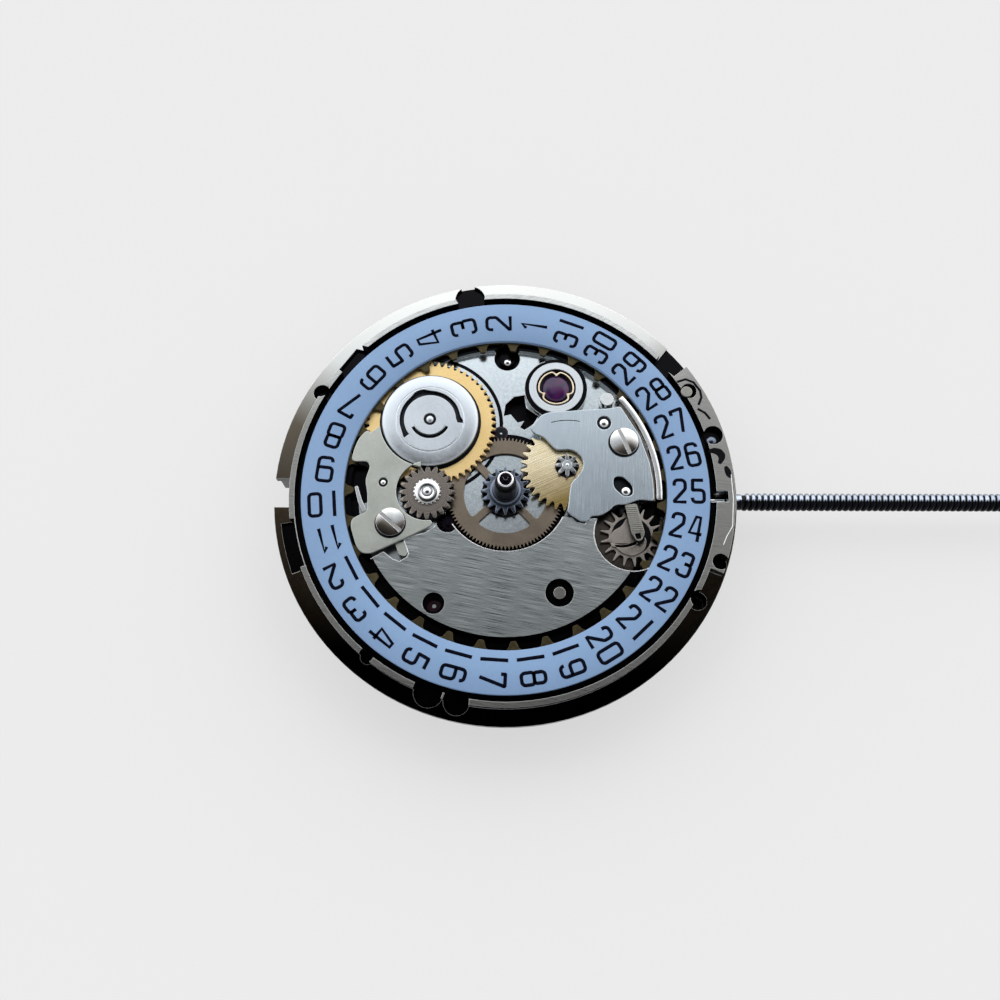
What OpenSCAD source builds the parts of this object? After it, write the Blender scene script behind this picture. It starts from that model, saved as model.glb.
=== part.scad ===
// Automatic watch movement seen from its date-ring side.
// The origin is the centre of the dial seat, +Z points to the dial, +X along the winding stem.

/* [Case fit] */
// Radius of the flange that stops the movement in the case
flange_r = 13; // [12.95:0.05:13.6]
// Radius of the body below the flange
body_r = 12.8; // [12.7:0.05:12.85]
// Outer radius of the dial seat rim
rim_r = 12.05; // [12:0.05:12.3]
// Depth of the flange's face below the dial seat
flange_drop = 0.7; // [0.6:0.05:0.85]
// Thickness of the flange
flange_t = 0.5; // [0.3:0.05:0.6]
// Thickness of the mainplate
plate_t = 2.5; // [2.5:0.05:2.55]
// Whole height below the dial seat
total_h = 4.6; // [4.6:0.05:4.8]

/* [Calendar] */
// Outer radius of the date ring
date_ro = 11.4; // [11.2:0.05:11.5]
// Inner radius of the date ring's printed face
date_ri = 9.03; // [9:0.05:9.3]
// Days on the date ring
days = 31; // [31]
// Radius inside the date ring that the calendar outlines are drawn to
works_r = 10; // [9.8:0.05:10.1]
// Tooth module of the calendar wheels
date_module = 0.131; // [0.125:0.001:0.133]
// Teeth of the date driving wheel
drive_teeth = 56; // [52:1:58]
// Radius of the sprung finger disc
finger_r = 2.75; // [2.5:0.05:2.75]

/* [Motion work] */
// Tooth module of the motion work
motion_module = 0.16; // [0.155:0.001:0.162]
// Teeth of the cannon pinion
cannon_teeth = 16; // [15:1:16]
// Teeth of the minute wheel
minute_teeth = 31; // [30:1:32]
// Radius of the minute hand's seat
minute_seat_r = 0.45; // [0.42:0.01:0.5]
// Radius of the seconds hand's pivot
seconds_pivot_r = 0.125; // [0.1:0.005:0.13]
// Height of the minute hand's seat above the dial seat
minute_seat_z = 1.7; // [1.5:0.05:2]

/* [Winding] */
// Radius of the stem's threaded end
thread_r = 0.525; // [0.5:0.005:0.55]
// Distance from the centre to the stem's end
stem_end_x = 31.6; // [20:0.1:34]
// Travel of the stem when the crown is pulled out
pull = 0.9; // [0.7:0.05:0.9]
// Tooth module of the winding wheels
wind_module = 0.2; // [0.195:0.001:0.201]

/* [Going train] */
// Radius of the barrel's toothed drum
barrel_r = 5.6; // [5.4:0.05:5.6]
// Outer radius of the balance wheel
balance_r = 4.3; // [4:0.05:4.3]
// Turns of the hairspring
hair_turns = 4; // [3:1:4]
// Thickness of a train wheel
wheel_t = 0.12; // [0.1:0.01:0.14]

/* [Rotor] */
// Outer radius of the oscillating weight
rotor_r = 12.5; // [12.2:0.05:12.5]
// Width of the weight's heavy rim
rotor_rim_w = 1.55; // [1.3:0.05:1.6]

/* [Hidden] */

$fn = 48;
over = 0.05;        // overrun of cuts
run = 0.02;         // radial clearance of a pivot
gap = 0.05;         // running gap between pieces
pivot_r = 0.12;
arbor_r = 0.2;
seconds_arbor_r = 0.29;
centre_tube_r = 0.42;      // the plate's tube that the cannon pinion turns on
centre_tube_top = 0.5;
hour_seat_r = 0.61;
jewel_r = 0.4;
press = 0.001;      // a jewel is this much smaller than its hole

// Depths on the dial side
channel_z = -0.55;
floor_z = -0.95;
notch_z = -0.97;            // floor of the rim's notches
boss_z = -0.25;
sheet_t = 0.2;
sheet_z = -0.05;            // top of the calendar sheets
pocket_z = -1.22;           // top of the pockets cut from the back
back_z = -plate_t;
bridge_t = 0.9;
bridge_z = back_z - bridge_t;
ring_channel_r = 11.75;
boss_r = 8.3;
works_edge_r = 8.7;

function polar(r, a) = [r * cos(a), r * sin(a)];
function scaled(r, shares) = [for (p = shares) r * p];
function pitch_r(m, teeth) = m * teeth / 2;
function dir_to(a, b) = atan2(b[1] - a[1], b[0] - a[0]);
// The point at one distance from a and another from b, on the left of a to b for side 1
function meet(a, ra, b, rb, side) = let (d = norm(b - a), u = (b - a) / d,
    x = (ra * ra - rb * rb + d * d) / (2 * d), h = sqrt(ra * ra - x * x))
    a + x * u + side * h * [-u[1], u[0]];

module at(p, z = 0) translate([p[0], p[1], z]) children();
module rod(r, low, high) translate([0, 0, low]) cylinder(r = r, h = high - low);
module tube(ro, ri, low, high) difference() {
    rod(ro, low, high);
    rod(ri, low - over, high + over);
}
module slab(low, high) translate([0, 0, low]) linear_extrude(high - low) children();

// A spur wheel whose teeth taper from root to tip
module gear(m, teeth, low, high, bore_r = 0, phase = 0) {
    step = 360 / teeth;
    tip_r = pitch_r(m, teeth) + 0.9 * m;
    root_r = pitch_r(m, teeth) - 1.25 * m;
    slab(low, high) difference() {
        polygon([for (i = [0 : teeth - 1]) for (s = [[root_r, -0.3], [tip_r, -0.1],
            [tip_r, 0.1], [root_r, 0.3]]) polar(s[0], phase + step * (i + s[1]))]);
        if (bore_r > 0) circle(bore_r);
    }
}

// Phase that puts a gap of the driven wheel at its partner's tooth
function mesh_phase(teeth, toward, partner_teeth, partner_phase) =
    toward + 180 + 180 / teeth
    + ((toward - partner_phase) * partner_teeth / teeth);

// A wheel with spokes cut out between hub and rim
module spoked(m, teeth, low, high, rim_in, hub_r, spokes, phase = 0) difference() {
    gear(m, teeth, low, high, 0, phase);
    slab(low - over, high + over) for (i = [0 : spokes - 1])
        rotate(i * 360 / spokes) intersection() {
            difference() {
                circle(rim_in);
                circle(hub_r);
            }
            polygon([[0, 0], polar(2 * rim_in, 14), polar(2 * rim_in, 180 / spokes),
                polar(2 * rim_in, 360 / spokes - 14)]);
        }
}

// A cheese-head screw under a face, its shank going up; the slot is turned by turn
module screw(head_r, head_t, shank_r, depth, turn = 0, up = 1) scale([1, 1, up]) difference() {
    union() {
        rod(head_r, -head_t, 0);
        rod(shank_r, -over, depth);
    }
    rotate(turn) translate([-head_r, -head_r / 8, -head_t - over])
        cube([2 * head_r, head_r / 4, head_t / 2 + over]);
}

// Places on the dial side
drive_pos = scaled(works_r, [-0.43, 0.415]);
inter_teeth = 9;
inter_dir = -91;
inter_dist = pitch_r(date_module, drive_teeth + inter_teeth);
inter_pos = drive_pos + polar(inter_dist, inter_dir);
minute_dir = 22.6;
minute_pos = polar(pitch_r(motion_module, cannon_teeth + minute_teeth), minute_dir);
setting_teeth = 14;
setting_dir = -25.4;
setting_pos = minute_pos + polar(pitch_r(motion_module, minute_teeth + setting_teeth), setting_dir);
corrector_pos = scaled(works_r, [0.7, -0.255]);
jumper_dir = 43;
corrector_r = 1.75;
corrector_teeth = 17;
keeper_screw_pos = scaled(works_r, [-0.635, -0.195]);
keeper_pin_pos = scaled(works_r, [-0.683, 0.037]);
bridge_screw_pos = scaled(works_r, [0.67, 0.28]);
bridge_pin_pos = scaled(works_r, [0.56, 0.395]);
foot_dirs = [150.5, -30.6];
foot_place_r = 12.2;
foot_r = 0.5;
foot_depth = 1.2;

// Round notches of the rim as shares of the flange's radius: x, y, radius, and their depth
rim_round_shares = [[-0.1615, 0.9231, 0.0692], [-0.3154, -0.8615, 0.0615], [-0.2, -0.9, 0.0538],
    [0.9038, -0.3192, 0.0346]];
rim_hole_shares = [[-0.5692, -0.7154, 0.0308], [0.8077, 0.4538, 0.0346]];
rim_hole_z = -1.2;
foot_sink_share = [0.9038, 0.2462, 0.0423];
foot_sink_z = -0.5;
rim_cut_shares = [[[-0.7538, 0.5654], [-0.6731, 0.6769], [-0.6077, 0.6615], [-0.6846, 0.5077]],
    [[0.6615, 0.5923], [0.7385, 0.6923], [0.8308, 0.5923], [0.7462, 0.5231]]];
edge_notch = [-0.9, 0.95, 1.7];
window_r = [11.8, 12.65];
window_dirs = [188.5, 193, 197.5, 202];
shock_r = 1.58;
shock_wall = 0.25;
shock_floor_z = -0.9;
shock_bore_r = 1.1;
shock_top = -0.35;
shock_t = 0.5;
shock_cup_r = 1.3;
shock_cup_t = 0.3;
lobe_ring_r = 0.45;
lobe_hole_r = 0.2;
lobe_r = 0.4;
lobe_place_r = 0.75;
lobe_low = -0.45;
lobe_top = -0.38;
cap_jewel_r = 0.8;
cap_jewel_low = -0.63;
cap_jewel_top = -0.47;
calendar_shank_r = 0.35;
calendar_pin_r = 0.17;
calendar_head_r = 0.8;
calendar_head_t = 0.15;
calendar_depth = 0.8;
screw_hole_z = -1.2;
pin_hole_z = -0.9;
stud_r = 0.27;              // studs that the dial-side wheels turn on
ring_t = 0.25;              // thickness of the printed ring
hoop_in = 0.08;             // how far the toothed hoop stands inside the printed ring
hoop_w = 0.88;
hoop_z = -0.5;
ring_tooth = 0.45;          // height of the ring's teeth, and half their width at root and tip
ring_tooth_root = 0.42;
ring_tooth_tip = 0.17;
jumper_r = 8.75;
jumper_w = 0.35;
jumper_start = -1.5;
jumper_end_at = 8.15;
jumper_end_r = 0.5;
jumper_post_at = 7.95;
jumper_post_r = 0.4;
jumper_nose_at = 8.6;
jumper_nose_r = 0.13;
jumper_nose_z = -0.48;
tongue_low = -0.38;
tongue_shares = [[0.66, -0.088], [0.73, -0.083], [0.772, -0.25], [0.73, -0.3], [0.695, -0.25]];
corrector_top = -0.68;
corrector_low = -0.85;
corrector_hub_r = 1.1;
corrector_hub_top = -0.6;
corrector_foot = -1.4;
corrector_room = 0.35;
keeper_hollow_r = 1.72;

// Levels and radii of the calendar's and the motion work's wheels
drive_low = -0.75;
drive_top = -0.55;
finger_t = 0.17;
finger_skirt = 0.23;
finger_skirt_w = 0.2;
finger_hub_r = 1.05;
finger_slots = [[1.9, 1.6, 0, 215], [1.4, 1.15, 205, 345]];   // radii, and where each arc runs
inter_crown_module = 0.146;
inter_crown_teeth = 20;
inter_crown_low = -0.5;
inter_crown_top = -0.32;
inter_hub_r = 0.7;
inter_hub_top = -0.12;
inter_low = -0.8;
inter_top = -0.45;
minute_low = -0.6;
minute_top = -0.42;
minute_leaves = 8;
minute_leaves_top = -0.12;
minute_foot_r = 0.45;
cannon_low = -0.66;
cannon_top = -0.36;
cannon_collar_r = 0.9;
cannon_collar_top = -0.1;
cannon_foot = -0.78;
hour_seat_drop = 0.65;      // the hour wheel's seat ends this far below the minute hand's
seconds_pivot_len = 0.35;
cannon_drive_low = -0.94;
cannon_drive_top = -0.8;
cannon_drive_rim = 2.35;
cannon_drive_hub = 1.2;
setting_low = -0.62;
setting_top = -0.42;
setting_foot = -1.6;
setting_foot_r = 1.05;
setting_foot_t = 0.2;
setting_room_r = 1.3;
setting_room_z = -1.75;
motion_room_r = 3.55;
motion_hub_r = 0.5;

// Holes and sinks of the mainplate
rim_sector = [-22, 42];     // the rim is wide in this sector
jewel_hole_z = -1.8;
plate_jewel_low = -1.5;
jewel_sink_r = 0.6;
jewel_sink_z = -0.6;
third_room_r = 0.62;
barrel_pivot_r = 0.33;
barrel_hole_z = -1.6;
barrel_sink_r = 0.78;
barrel_sink_z = -0.75;
plate_hole_shares = [0.01, 0.83];
plate_hole_r = 0.75;
plate_hole_z = -1.35;
plate_screw_r = 0.45;
first_room_r = 4.4;
third_pinion_room_r = 0.85;
wheel_room = 0.12;
balance_room = 0.15;
balance_room_z = -1.7;
escape_room = 0.5;
pallet_room_z = -1.75;
pallet_room_r = 0.9;
stem_slot = [11.1, -0.75, 1.3, 0.65];

// Places of the going train and the balance
balance_pos = scaled(works_r, [0.292, 0.625]);
barrel_pos = scaled(works_r, [0.295, -0.585]);
barrel_module = 0.15;
barrel_teeth = 73;
first_teeth = 18;
second_module = 0.102;
first_wheel_teeth = 80;
third_leaves = 10;
seconds_module = 0.0861;
third_wheel_teeth = 75;
seconds_leaves = 10;
third_dir = 210;
third_pos = polar(pitch_r(seconds_module, third_wheel_teeth + seconds_leaves) + gap, third_dir);
first_pos = meet(barrel_pos, pitch_r(barrel_module, barrel_teeth + first_teeth) + gap,
    third_pos, pitch_r(second_module, first_wheel_teeth + third_leaves) + gap, 1);
cannon_drive_module = 0.0678;
cannon_drive_teeth = 96;
escape_module = 0.0553;
seconds_wheel_teeth = 120;
escape_leaves = 10;
escape_dir = 133.3;
escape_pos = polar(pitch_r(escape_module, seconds_wheel_teeth + escape_leaves) + gap, escape_dir);
pallet_pos = scaled(works_r, [-0.025, 0.365]);
escape_r = 1.95;

// Levels of the train, from the dial side down
first_z = -1.42;
barrel_top = -1.48;
barrel_low = -2.44;
third_z = -2.82;
seconds_z = -3;
escape_z = -2.05;
pallet_z = -2.25;
balance_z = -2.75;
hair_z = -2.97;
head_t = 0.2;
wind_z = bridge_z - gap;
wind_low = wind_z - 0.18;

// Places of the winding work
ratchet_teeth = 40;
crown_teeth = 25;
crown_dir = 50;
crown_pos = barrel_pos
    + polar(pitch_r(wind_module, ratchet_teeth + crown_teeth) + gap, crown_dir);
stem_z = -plate_t;
stem_r = 0.6;
square_half = 0.36;
square_x = 5.65;
pilot_r = 0.3;
pilot_x = 4.6;
pinion_wind_r = 0.95;
sliding_r = 0.76;
slide_travel = 2 * pull / 3;
sliding_x = 6.3;
sliding_len = 1.6;
winding_len = 1.45;
winding_x = sliding_x + sliding_len + gap;
groove_x = 10;
groove_len = 0.4;
undercut_r = 0.35;
undercut_len = 0.5;
thread_gap = 0.1;
lever_t = 0.16;
lever_z = back_z + gap;
lever_pivot = [10.65, 2.3];
lever_r = 0.45;
lever_nose_r = 0.16;
lever_nose_y = 0.6;
yoke_pivot = [6.55, 2.5];
yoke_r = 0.4;
yoke_nose_r = 0.12;
yoke_nose = [0.58, 0.78];
stem_mid_r = 0.5;
stem_collar = 0.3;
winding_module = 0.16;
winding_teeth = 10;
winding_face = 0.7;
winding_hub_r = 0.7;
sliding_head = 0.4;
sliding_neck_r = 0.58;
sliding_neck_end = 0.8;
// Outlines beside the stem's groove: start in x and y, length in x and y
lever_jumper_t = 0.14;
lever_jumper_box = [-0.95, 1, 2.55, 2.1];
lever_jumper_cut = [-0.6, 1.3, 1.2, 1.4];
lever_jumper_room_t = 0.2;
lever_jumper_room = [-1.4, 0.8, 3.1, 2.4];
lever_room_box = [-0.6, 0.2, 2.35, 2.9];
yoke_room_box = [-1.1, 0.2, 2.1, 2.95];
pilot_room = 0.2;
stem_room = 1;

// Barrel
drum_r = barrel_r - 0.35;
drum_wall = 0.25;
drum_tooth_t = 0.28;
drum_floor_t = 0.14;
cover_t = 0.12;
spring_in_r = 2.3;
barrel_hole_r = 0.5;
barrel_pivot_low = -1.7;
barrel_pivot_top = -0.3;
barrel_core_r = 1.2;

// Train wheels, their arbors and the room for them in the bridges
train_spokes = 5;
train_hub_r = 0.6;
first_hub_r = 0.9;
first_rim_in = 3.4;
third_rim_in = 2.7;
seconds_rim_in = 2.8;
first_pinion_len = 0.4;
third_drive_leaves = 12;
third_tip_z = -0.6;
arbor_low = bridge_z + 0.32;
upper_arbor_top = -1.55;
upper_tip_z = -1.02;
bridge_web = 0.3;
bridge_deep_web = 0.45;
seconds_room_r = 3.6;
third_wheel_room_r = 3.5;
escape_hub_room_r = 0.75;
first_hub_room_r = 1.6;
pallet_window_r = 1.4;
bridge_jewel_t = 0.28;
crown_pivot_r = 0.3;
reduction_pivot_r = 0.15;

// Escapement and balance
escape_teeth = 20;
escape_depth = 0.4;
escape_window_at = 0.95;
escape_window_r = 0.4;
escape_arbor_r = 0.18;
fork_reach = 3.22;
fork_dir = 39.4;
fork_t = 0.16;
fork_r = 0.22;
fork_head_in = 0.15;
fork_head_r = 0.32;
fork_notch = [0.5, 0.26];
fork_arbor_r = 0.16;
stone_r = 1.15;
stone_dir = 205.5;
stone_turn = 36;
stone_arm_r = 0.14;
stone_size = [0.3, 0.14];
pallet_bridge_t = 0.12;
pallet_bridge_len = 1.7;
pallet_bridge_dir = 275;
pallet_bridge_r = 0.6;
balance_rim_w = 0.35;
balance_t = 0.22;
balance_arm_w = 0.4;
balance_arm_dirs = [20, 140, 260];
staff_r = 0.22;
staff_low = -3.02;
staff_top = -1.25;
staff_tips = [-3.2, -0.65];
roller_r = 1.1;
roller_low = -2.42;
roller_t = 0.1;
roller_pin_at = 0.85;
roller_pin_r = 0.09;
coil_steps = 24;            // sides in one turn of the hairspring
hair_in_r = 0.55;
hair_out_r = 2.6;
hair_w = 0.08;
hair_t = 0.1;
regulator_r = 2.1;
regulator_t = 0.14;
regulator_dir = 150;
regulator_w = 0.5;
regulator_len = 3.4;
regulator_bore_r = 1.75;
back_shock_r = 1.68;
back_shock_t = 0.2;
back_cup_r = 0.9;
cap_back_low = 0.12;
cap_back_top = 0.08;

// Click of the ratchet wheel
click_pos = barrel_pos + polar(5.15, 205);
click_len = 1.15;
click_dir = 65;
click_r = 0.5;
click_nose_r = 0.12;
click_spring_at = [0.3, -1.9];
click_spring_size = [1.5, 0.7];
click_spring_w = 0.2;

// Places of the automatic work
auto_top = bridge_z - gap;
auto_low = -4.06;
rotor_plate_top = -4.15;
rotor_plate_low = -4.38;
rotor_rim_r = rotor_r - rotor_rim_w;
rotor_seat = 0.6;           // the plate's edge in the rim
rotor_teeth = 14;
rev_teeth = 15;
rev_leaves = 6;
reduction_teeth = 17;
reduction_dir = 150;
reduction_pos = barrel_pos
    + polar(pitch_r(wind_module, ratchet_teeth + rev_leaves) + gap, reduction_dir);
rev_a_pos = meet([0, 0], pitch_r(wind_module, rotor_teeth + rev_teeth) + gap,
    reduction_pos, pitch_r(wind_module, rev_leaves + reduction_teeth) + gap, -1);
rev_b_dir = 118;
rev_b_pos = rev_a_pos + polar(pitch_r(wind_module, 2 * rev_teeth) + gap, rev_b_dir);
rev_a_phase = mesh_phase(rev_teeth, dir_to([0, 0], rev_a_pos), rotor_teeth, 0);
reduction_r = pitch_r(wind_module, reduction_teeth + 2);
auto_hub_r = 3.1;
auto_arm_r = 1.6;
auto_arm_end_r = 0.95;
auto_boss_r = 0.75;
auto_pivot_r = 0.4;
auto_pivot_depth = 0.35;
auto_deep = 0.42;
auto_head_t = 0.07;
auto_shank_depth = 1.3;
auto_screw_turn = 60;
auto_balance_room_r = 2.6;
rotor_pinion_room_r = 1.8;
rev_lug_r = 2.15;
rev_room_r = 1.85;
rev_pivot_r = 0.2;
rev_t = 0.18;
reduction_rise = 0.21;
reduction_leaf_room_r = 0.85;
ratchet_room_r = 4.5;
crown_room_r = 3;
rotor_hub_r = 2.7;
rotor_bore_r = 1.55;
rotor_step_r = 2;
rotor_rim_drop = 0.3;
rotor_window_at = 6.8;
rotor_window_r = 1.5;
rotor_window_dirs = [210, 270, 330];
bearing_r = 1.02;
bearing_in_r = 0.95;
bearing_screw_r = 0.38;
balls = 7;
ball_at = 1.25;
ball_r = 0.2;

// Calendar outlines, as shares of the radius they are drawn to
keeper_shares = [[-0.78, 0.355], [-0.83, 0.3], [-0.855, 0.23], [-0.865, 0.175], [-0.85, 0.16],
    [-0.775, 0.16], [-0.76, 0.13], [-0.785, 0.05], [-0.77, -0.02], [-0.765, -0.13],
    [-0.805, -0.15], [-0.85, -0.175], [-0.855, -0.22], [-0.82, -0.33], [-0.79, -0.37],
    [-0.74, -0.375], [-0.56, -0.29], [-0.42, -0.22], [-0.405, -0.19], [-0.46, -0.14],
    [-0.5, 0.17], [-0.63, 0.26], [-0.72, 0.315]];
bridge_shares = [[0.145, 0.36], [0.18, 0.42], [0.25, 0.46], [0.61, 0.485], [0.655, 0.5],
    [0.76, 0.32], [0.81, 0.16], [0.825, 0.05], [0.828, -0.07], [0.745, -0.06], [0.665, -0.09],
    [0.61, -0.09], [0.57, -0.13], [0.52, -0.155], [0.475, -0.155], [0.455, -0.185],
    [0.42, -0.19], [0.375, -0.16], [0.34, -0.13], [0.35, -0.09], [0.36, 0], [0.37, 0.04],
    [0.4, 0.07], [0.43, 0.11], [0.44, 0.15], [0.43, 0.185], [0.4, 0.22], [0.36, 0.235],
    [0.285, 0.23], [0.25, 0.27], [0.22, 0.305], [0.16, 0.33]];
boss_shares = [[-0.74, -0.4], [-0.67, -0.36], [-0.62, -0.4], [-0.58, -0.415], [-0.54, -0.39],
    [-0.53, -0.37], [-0.56, -0.29], [-0.5, -0.265], [-0.45, -0.255], [-0.41, -0.23],
    [-0.385, -0.195], [-0.32, -0.16], [0.32, -0.16], [0.37, -0.16], [0.4, -0.19],
    [0.44, -0.2], [0.46, -0.17], [0.505, -0.165], [0.9, -0.165], [0.9, -0.9], [-0.9, -0.9],
    [-0.9, -0.4]];
window_shares = [[0, 0.54], [0.05, 0.59], [0.11, 0.6], [0.12, 0.52], [0.19, 0.47],
    [0.16, 0.42], [0.11, 0.385], [0.085, 0.4], [0.11, 0.44], [0.07, 0.43], [0.03, 0.48],
    [-0.01, 0.47]];

// Bridge outlines on the back, as shares of the body's radius
barrel_bridge_shares = [[-0.16, -0.21], [-0.16, -0.97], [0.6, -0.9], [0.95, -0.4], [0.95, 0.24],
    [0.56, 0.24], [0.5, 0.12], [0.14, 0.12], [0.14, -0.02], [0.09, -0.09], [0, -0.15]];
train_bridge_shares = [[0.12, 0.13], [-0.04, 0.16], [-0.06, 0.4], [-0.14, 0.5], [-0.45, 0.85],
    [-0.95, 0.5], [-0.98, -0.1], [-0.8, -0.6], [-0.175, -0.97], [-0.175, -0.19], [0, -0.135],
    [0.07, -0.08], [0.12, -0.01]];
cock_shares = [[0.72, 0.66], [0.55, 0.6], [0.3, 0.62], [0.13, 0.58], [0.1, 0.46], [0.2, 0.37],
    [0.4, 0.36], [0.6, 0.28], [0.9, 0.28], [0.88, 0.5]];
bridge_edge_r = 12.3;

bridge_screw_shares = [[0.7, -0.58], [0.03, -0.9], [0.86, -0.25], [0.664, 0.19],
    [-0.78, 0.36], [-0.7, -0.53], [-0.4, 0.68], [0.78, 0.4]];
bridge_screw_places = body_r * bridge_screw_shares;
bridge_screw_r = 0.6;
bridge_shank_r = 0.32;
bridge_shank_depth = 1.5;
bridge_screw_turn = 30;
auto_shares = [[-0.66, -0.24], [0.36, 0.07], [-0.46, 0.32]];
auto_places = body_r * auto_shares;
auto_lug_r = 1.05;
auto_shank_r = 0.28;
auto_head_r = 0.55;

module bore_cuts(places, r, low, high) for (p = places) at(p) rod(r, low - over, high + over);

// The stem, its pinions and the levers need room in plate and bridge
module keyless_room(low, high, sliding_low) {
    room_x = sliding_x - slide_travel - 2 * gap;
    translate([winding_x - gap, -pinion_wind_r - gap, low])
        cube([winding_len + 2 * gap, 2 * pinion_wind_r + 2 * gap, high - low]);
    translate([room_x, -pinion_wind_r - gap, sliding_low])
        cube([winding_x - room_x, 2 * pinion_wind_r + 2 * gap, high - sliding_low]);
    translate([0, 0, stem_z]) rotate([0, 90, 0]) rod(pilot_r + run, pilot_x - pilot_room, sliding_x);
    translate([0, 0, stem_z]) rotate([0, 90, 0])
        rod(stem_r + run, groove_x - stem_room, flange_r + over);
}
module lever_room(low, high) slab(low, high) {
    stem_box(lever_room_box);
    translate([yoke_pivot[0] - groove_x, 0]) stem_box(yoke_room_box);
}

module mainplate() color("lightsteelblue") difference() {
    union() {
        difference() {
            union() {
                rod(rim_r, back_z, 0);
                rod(body_r, back_z, -flange_drop);
                rod(flange_r, -flange_drop - flange_t, -flange_drop);
                intersection() {
                    rod(body_r, back_z, 0);
                    slab(back_z, 0) polygon([[0, 0], polar(2 * body_r, rim_sector[0]),
                        polar(2 * body_r, rim_sector[1])]);
                }
            }
            rod(ring_channel_r, channel_z, over);
            rod(works_edge_r, floor_z, over);
        }
        intersection() {
            rod(boss_r, back_z, boss_z);
            slab(back_z, boss_z) polygon(works_r * boss_shares);
        }
        at(keeper_screw_pos) rod(calendar_head_r, back_z, sheet_z - sheet_t - run);
        at(keeper_pin_pos) rod(3 * calendar_pin_r, back_z, sheet_z - sheet_t - run);
        at(bridge_screw_pos) rod(calendar_head_r, back_z, sheet_z - sheet_t - run);
        at(bridge_pin_pos) rod(3 * calendar_pin_r, back_z, sheet_z - sheet_t - run);
        at(balance_pos) rod(shock_r + shock_wall, pocket_z, channel_z);
        at(drive_pos) rod(stud_r, floor_z, sheet_z);
        at(inter_pos) rod(stud_r, floor_z, sheet_z - gap);
        at(minute_pos) rod(stud_r, floor_z, sheet_z - gap);
        tube(centre_tube_r, seconds_arbor_r + run, back_z + 2 * gap, centre_tube_top);
    }
    // Recesses of the motion work and of the date corrector
    difference() {
        rod(motion_room_r, floor_z - gap, over);
        rod(motion_hub_r, floor_z - 2 * gap, over);
    }
    at(drive_pos) tube(pitch_r(date_module, drive_teeth + 3), stud_r, floor_z, over);
    at(corrector_pos) rod(corrector_r + corrector_room, floor_z, over);
    at(corrector_pos) rod(stud_r + run, corrector_foot - 2 * gap, over);
    at(setting_pos) rod(setting_room_r, setting_room_z, over);
    at(balance_pos) rod(shock_r, shock_floor_z, over);
    at(balance_pos) rod(shock_bore_r, back_z - over, over);
    slab(back_z - over, over) polygon(works_r * window_shares);
    // Holes of the calendar screws and pins
    bore_cuts([keeper_screw_pos, bridge_screw_pos], calendar_shank_r + run, screw_hole_z, 0);
    bore_cuts([keeper_pin_pos, bridge_pin_pos], calendar_pin_r + run, pin_hole_z, 0);
    // Jewel holes of the train
    bore_cuts([first_pos, third_pos, escape_pos, pallet_pos], jewel_r, jewel_hole_z, over);
    at(first_pos) rod(jewel_sink_r, jewel_sink_z, over);
    at(third_pos) rod(third_room_r, floor_z - gap - over, over);
    at(barrel_pos) rod(barrel_pivot_r + run, barrel_hole_z, over);
    at(barrel_pos) rod(barrel_sink_r, barrel_sink_z, over);
    at(works_r * plate_hole_shares) tube(plate_hole_r, plate_screw_r, plate_hole_z, over);
    at(works_r * plate_hole_shares) rod(plate_hole_r, floor_z - gap, over);
    rod(seconds_arbor_r + run, back_z - over, centre_tube_top + over);
    // Pockets cut from the back
    at(first_pos) rod(first_room_r, back_z - over, pocket_z);
    at(barrel_pos) rod(barrel_r + wheel_room, back_z - over, barrel_top + 3 * run);
    at(third_pos) rod(third_pinion_room_r, back_z - over, pocket_z);
    at(escape_pos) rod(escape_r + wheel_room, back_z - over, escape_z + escape_room);
    at(balance_pos) rod(balance_r + balance_room, back_z - over, balance_room_z);
    slab(back_z - over, pallet_room_z) {
        lever_arm(pallet_pos, balance_pos, pallet_room_r, pallet_room_r);
        lever_arm(pallet_pos, escape_pos, pallet_room_r + gap, pallet_room_r + gap);
    }
    slab(back_z - over, back_z + pallet_bridge_t) lever_arm(pallet_pos,
        pallet_pos + polar(pallet_bridge_len, pallet_bridge_dir),
        pallet_bridge_r + run, pallet_bridge_r + run);
    keyless_room(back_z - over, stem_z + pinion_wind_r + gap, back_z - over);
    lever_room(back_z - over, lever_z + lever_t + gap);
    bore_cuts(bridge_screw_places, bridge_shank_r + run, back_z - over,
        back_z + bridge_shank_depth - bridge_t + gap);
    // Dial feet, and the notches of the rim as the photograph shows them
    for (a = foot_dirs) at(polar(foot_place_r, a)) rod(foot_r, -flange_drop - foot_depth, over);
    for (n = flange_r * rim_round_shares) at(n) rod(n[2], notch_z, over);
    for (n = flange_r * rim_hole_shares) at(n) rod(n[2], rim_hole_z, over);
    at(flange_r * foot_sink_share) rod(flange_r * foot_sink_share[2], foot_sink_z, over);
    for (n = rim_cut_shares) slab(notch_z, over) polygon(flange_r * n);
    slab(back_z - over, over) translate([-flange_r - over, edge_notch[0]])
        square([edge_notch[1], edge_notch[2]]);
    slab(notch_z, over) polygon(concat([for (a = window_dirs) polar(window_r[0], a)],
        [for (i = [len(window_dirs) - 1 : -1 : 0]) polar(window_r[1], window_dirs[i])]));
    translate([stem_slot[0], stem_slot[1], back_z]) cube([stem_slot[2], stem_slot[3], plate_t + over]);
}

module date_ring() color("skyblue") {
    tube(date_ro, date_ri, sheet_z - ring_t, sheet_z);
    slab(hoop_z, sheet_z - ring_t) {
        difference() {
            circle(date_ri - hoop_in + hoop_w);
            circle(date_ri - hoop_in);
        }
        for (i = [0 : days - 1]) rotate((i + 0.5) * 360 / days) translate([date_ri - hoop_in, 0])
            polygon([[2 * gap, -ring_tooth_root], [-ring_tooth, -ring_tooth_tip],
                [-ring_tooth, ring_tooth_tip], [2 * gap, ring_tooth_root]]);
    }
}

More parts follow.
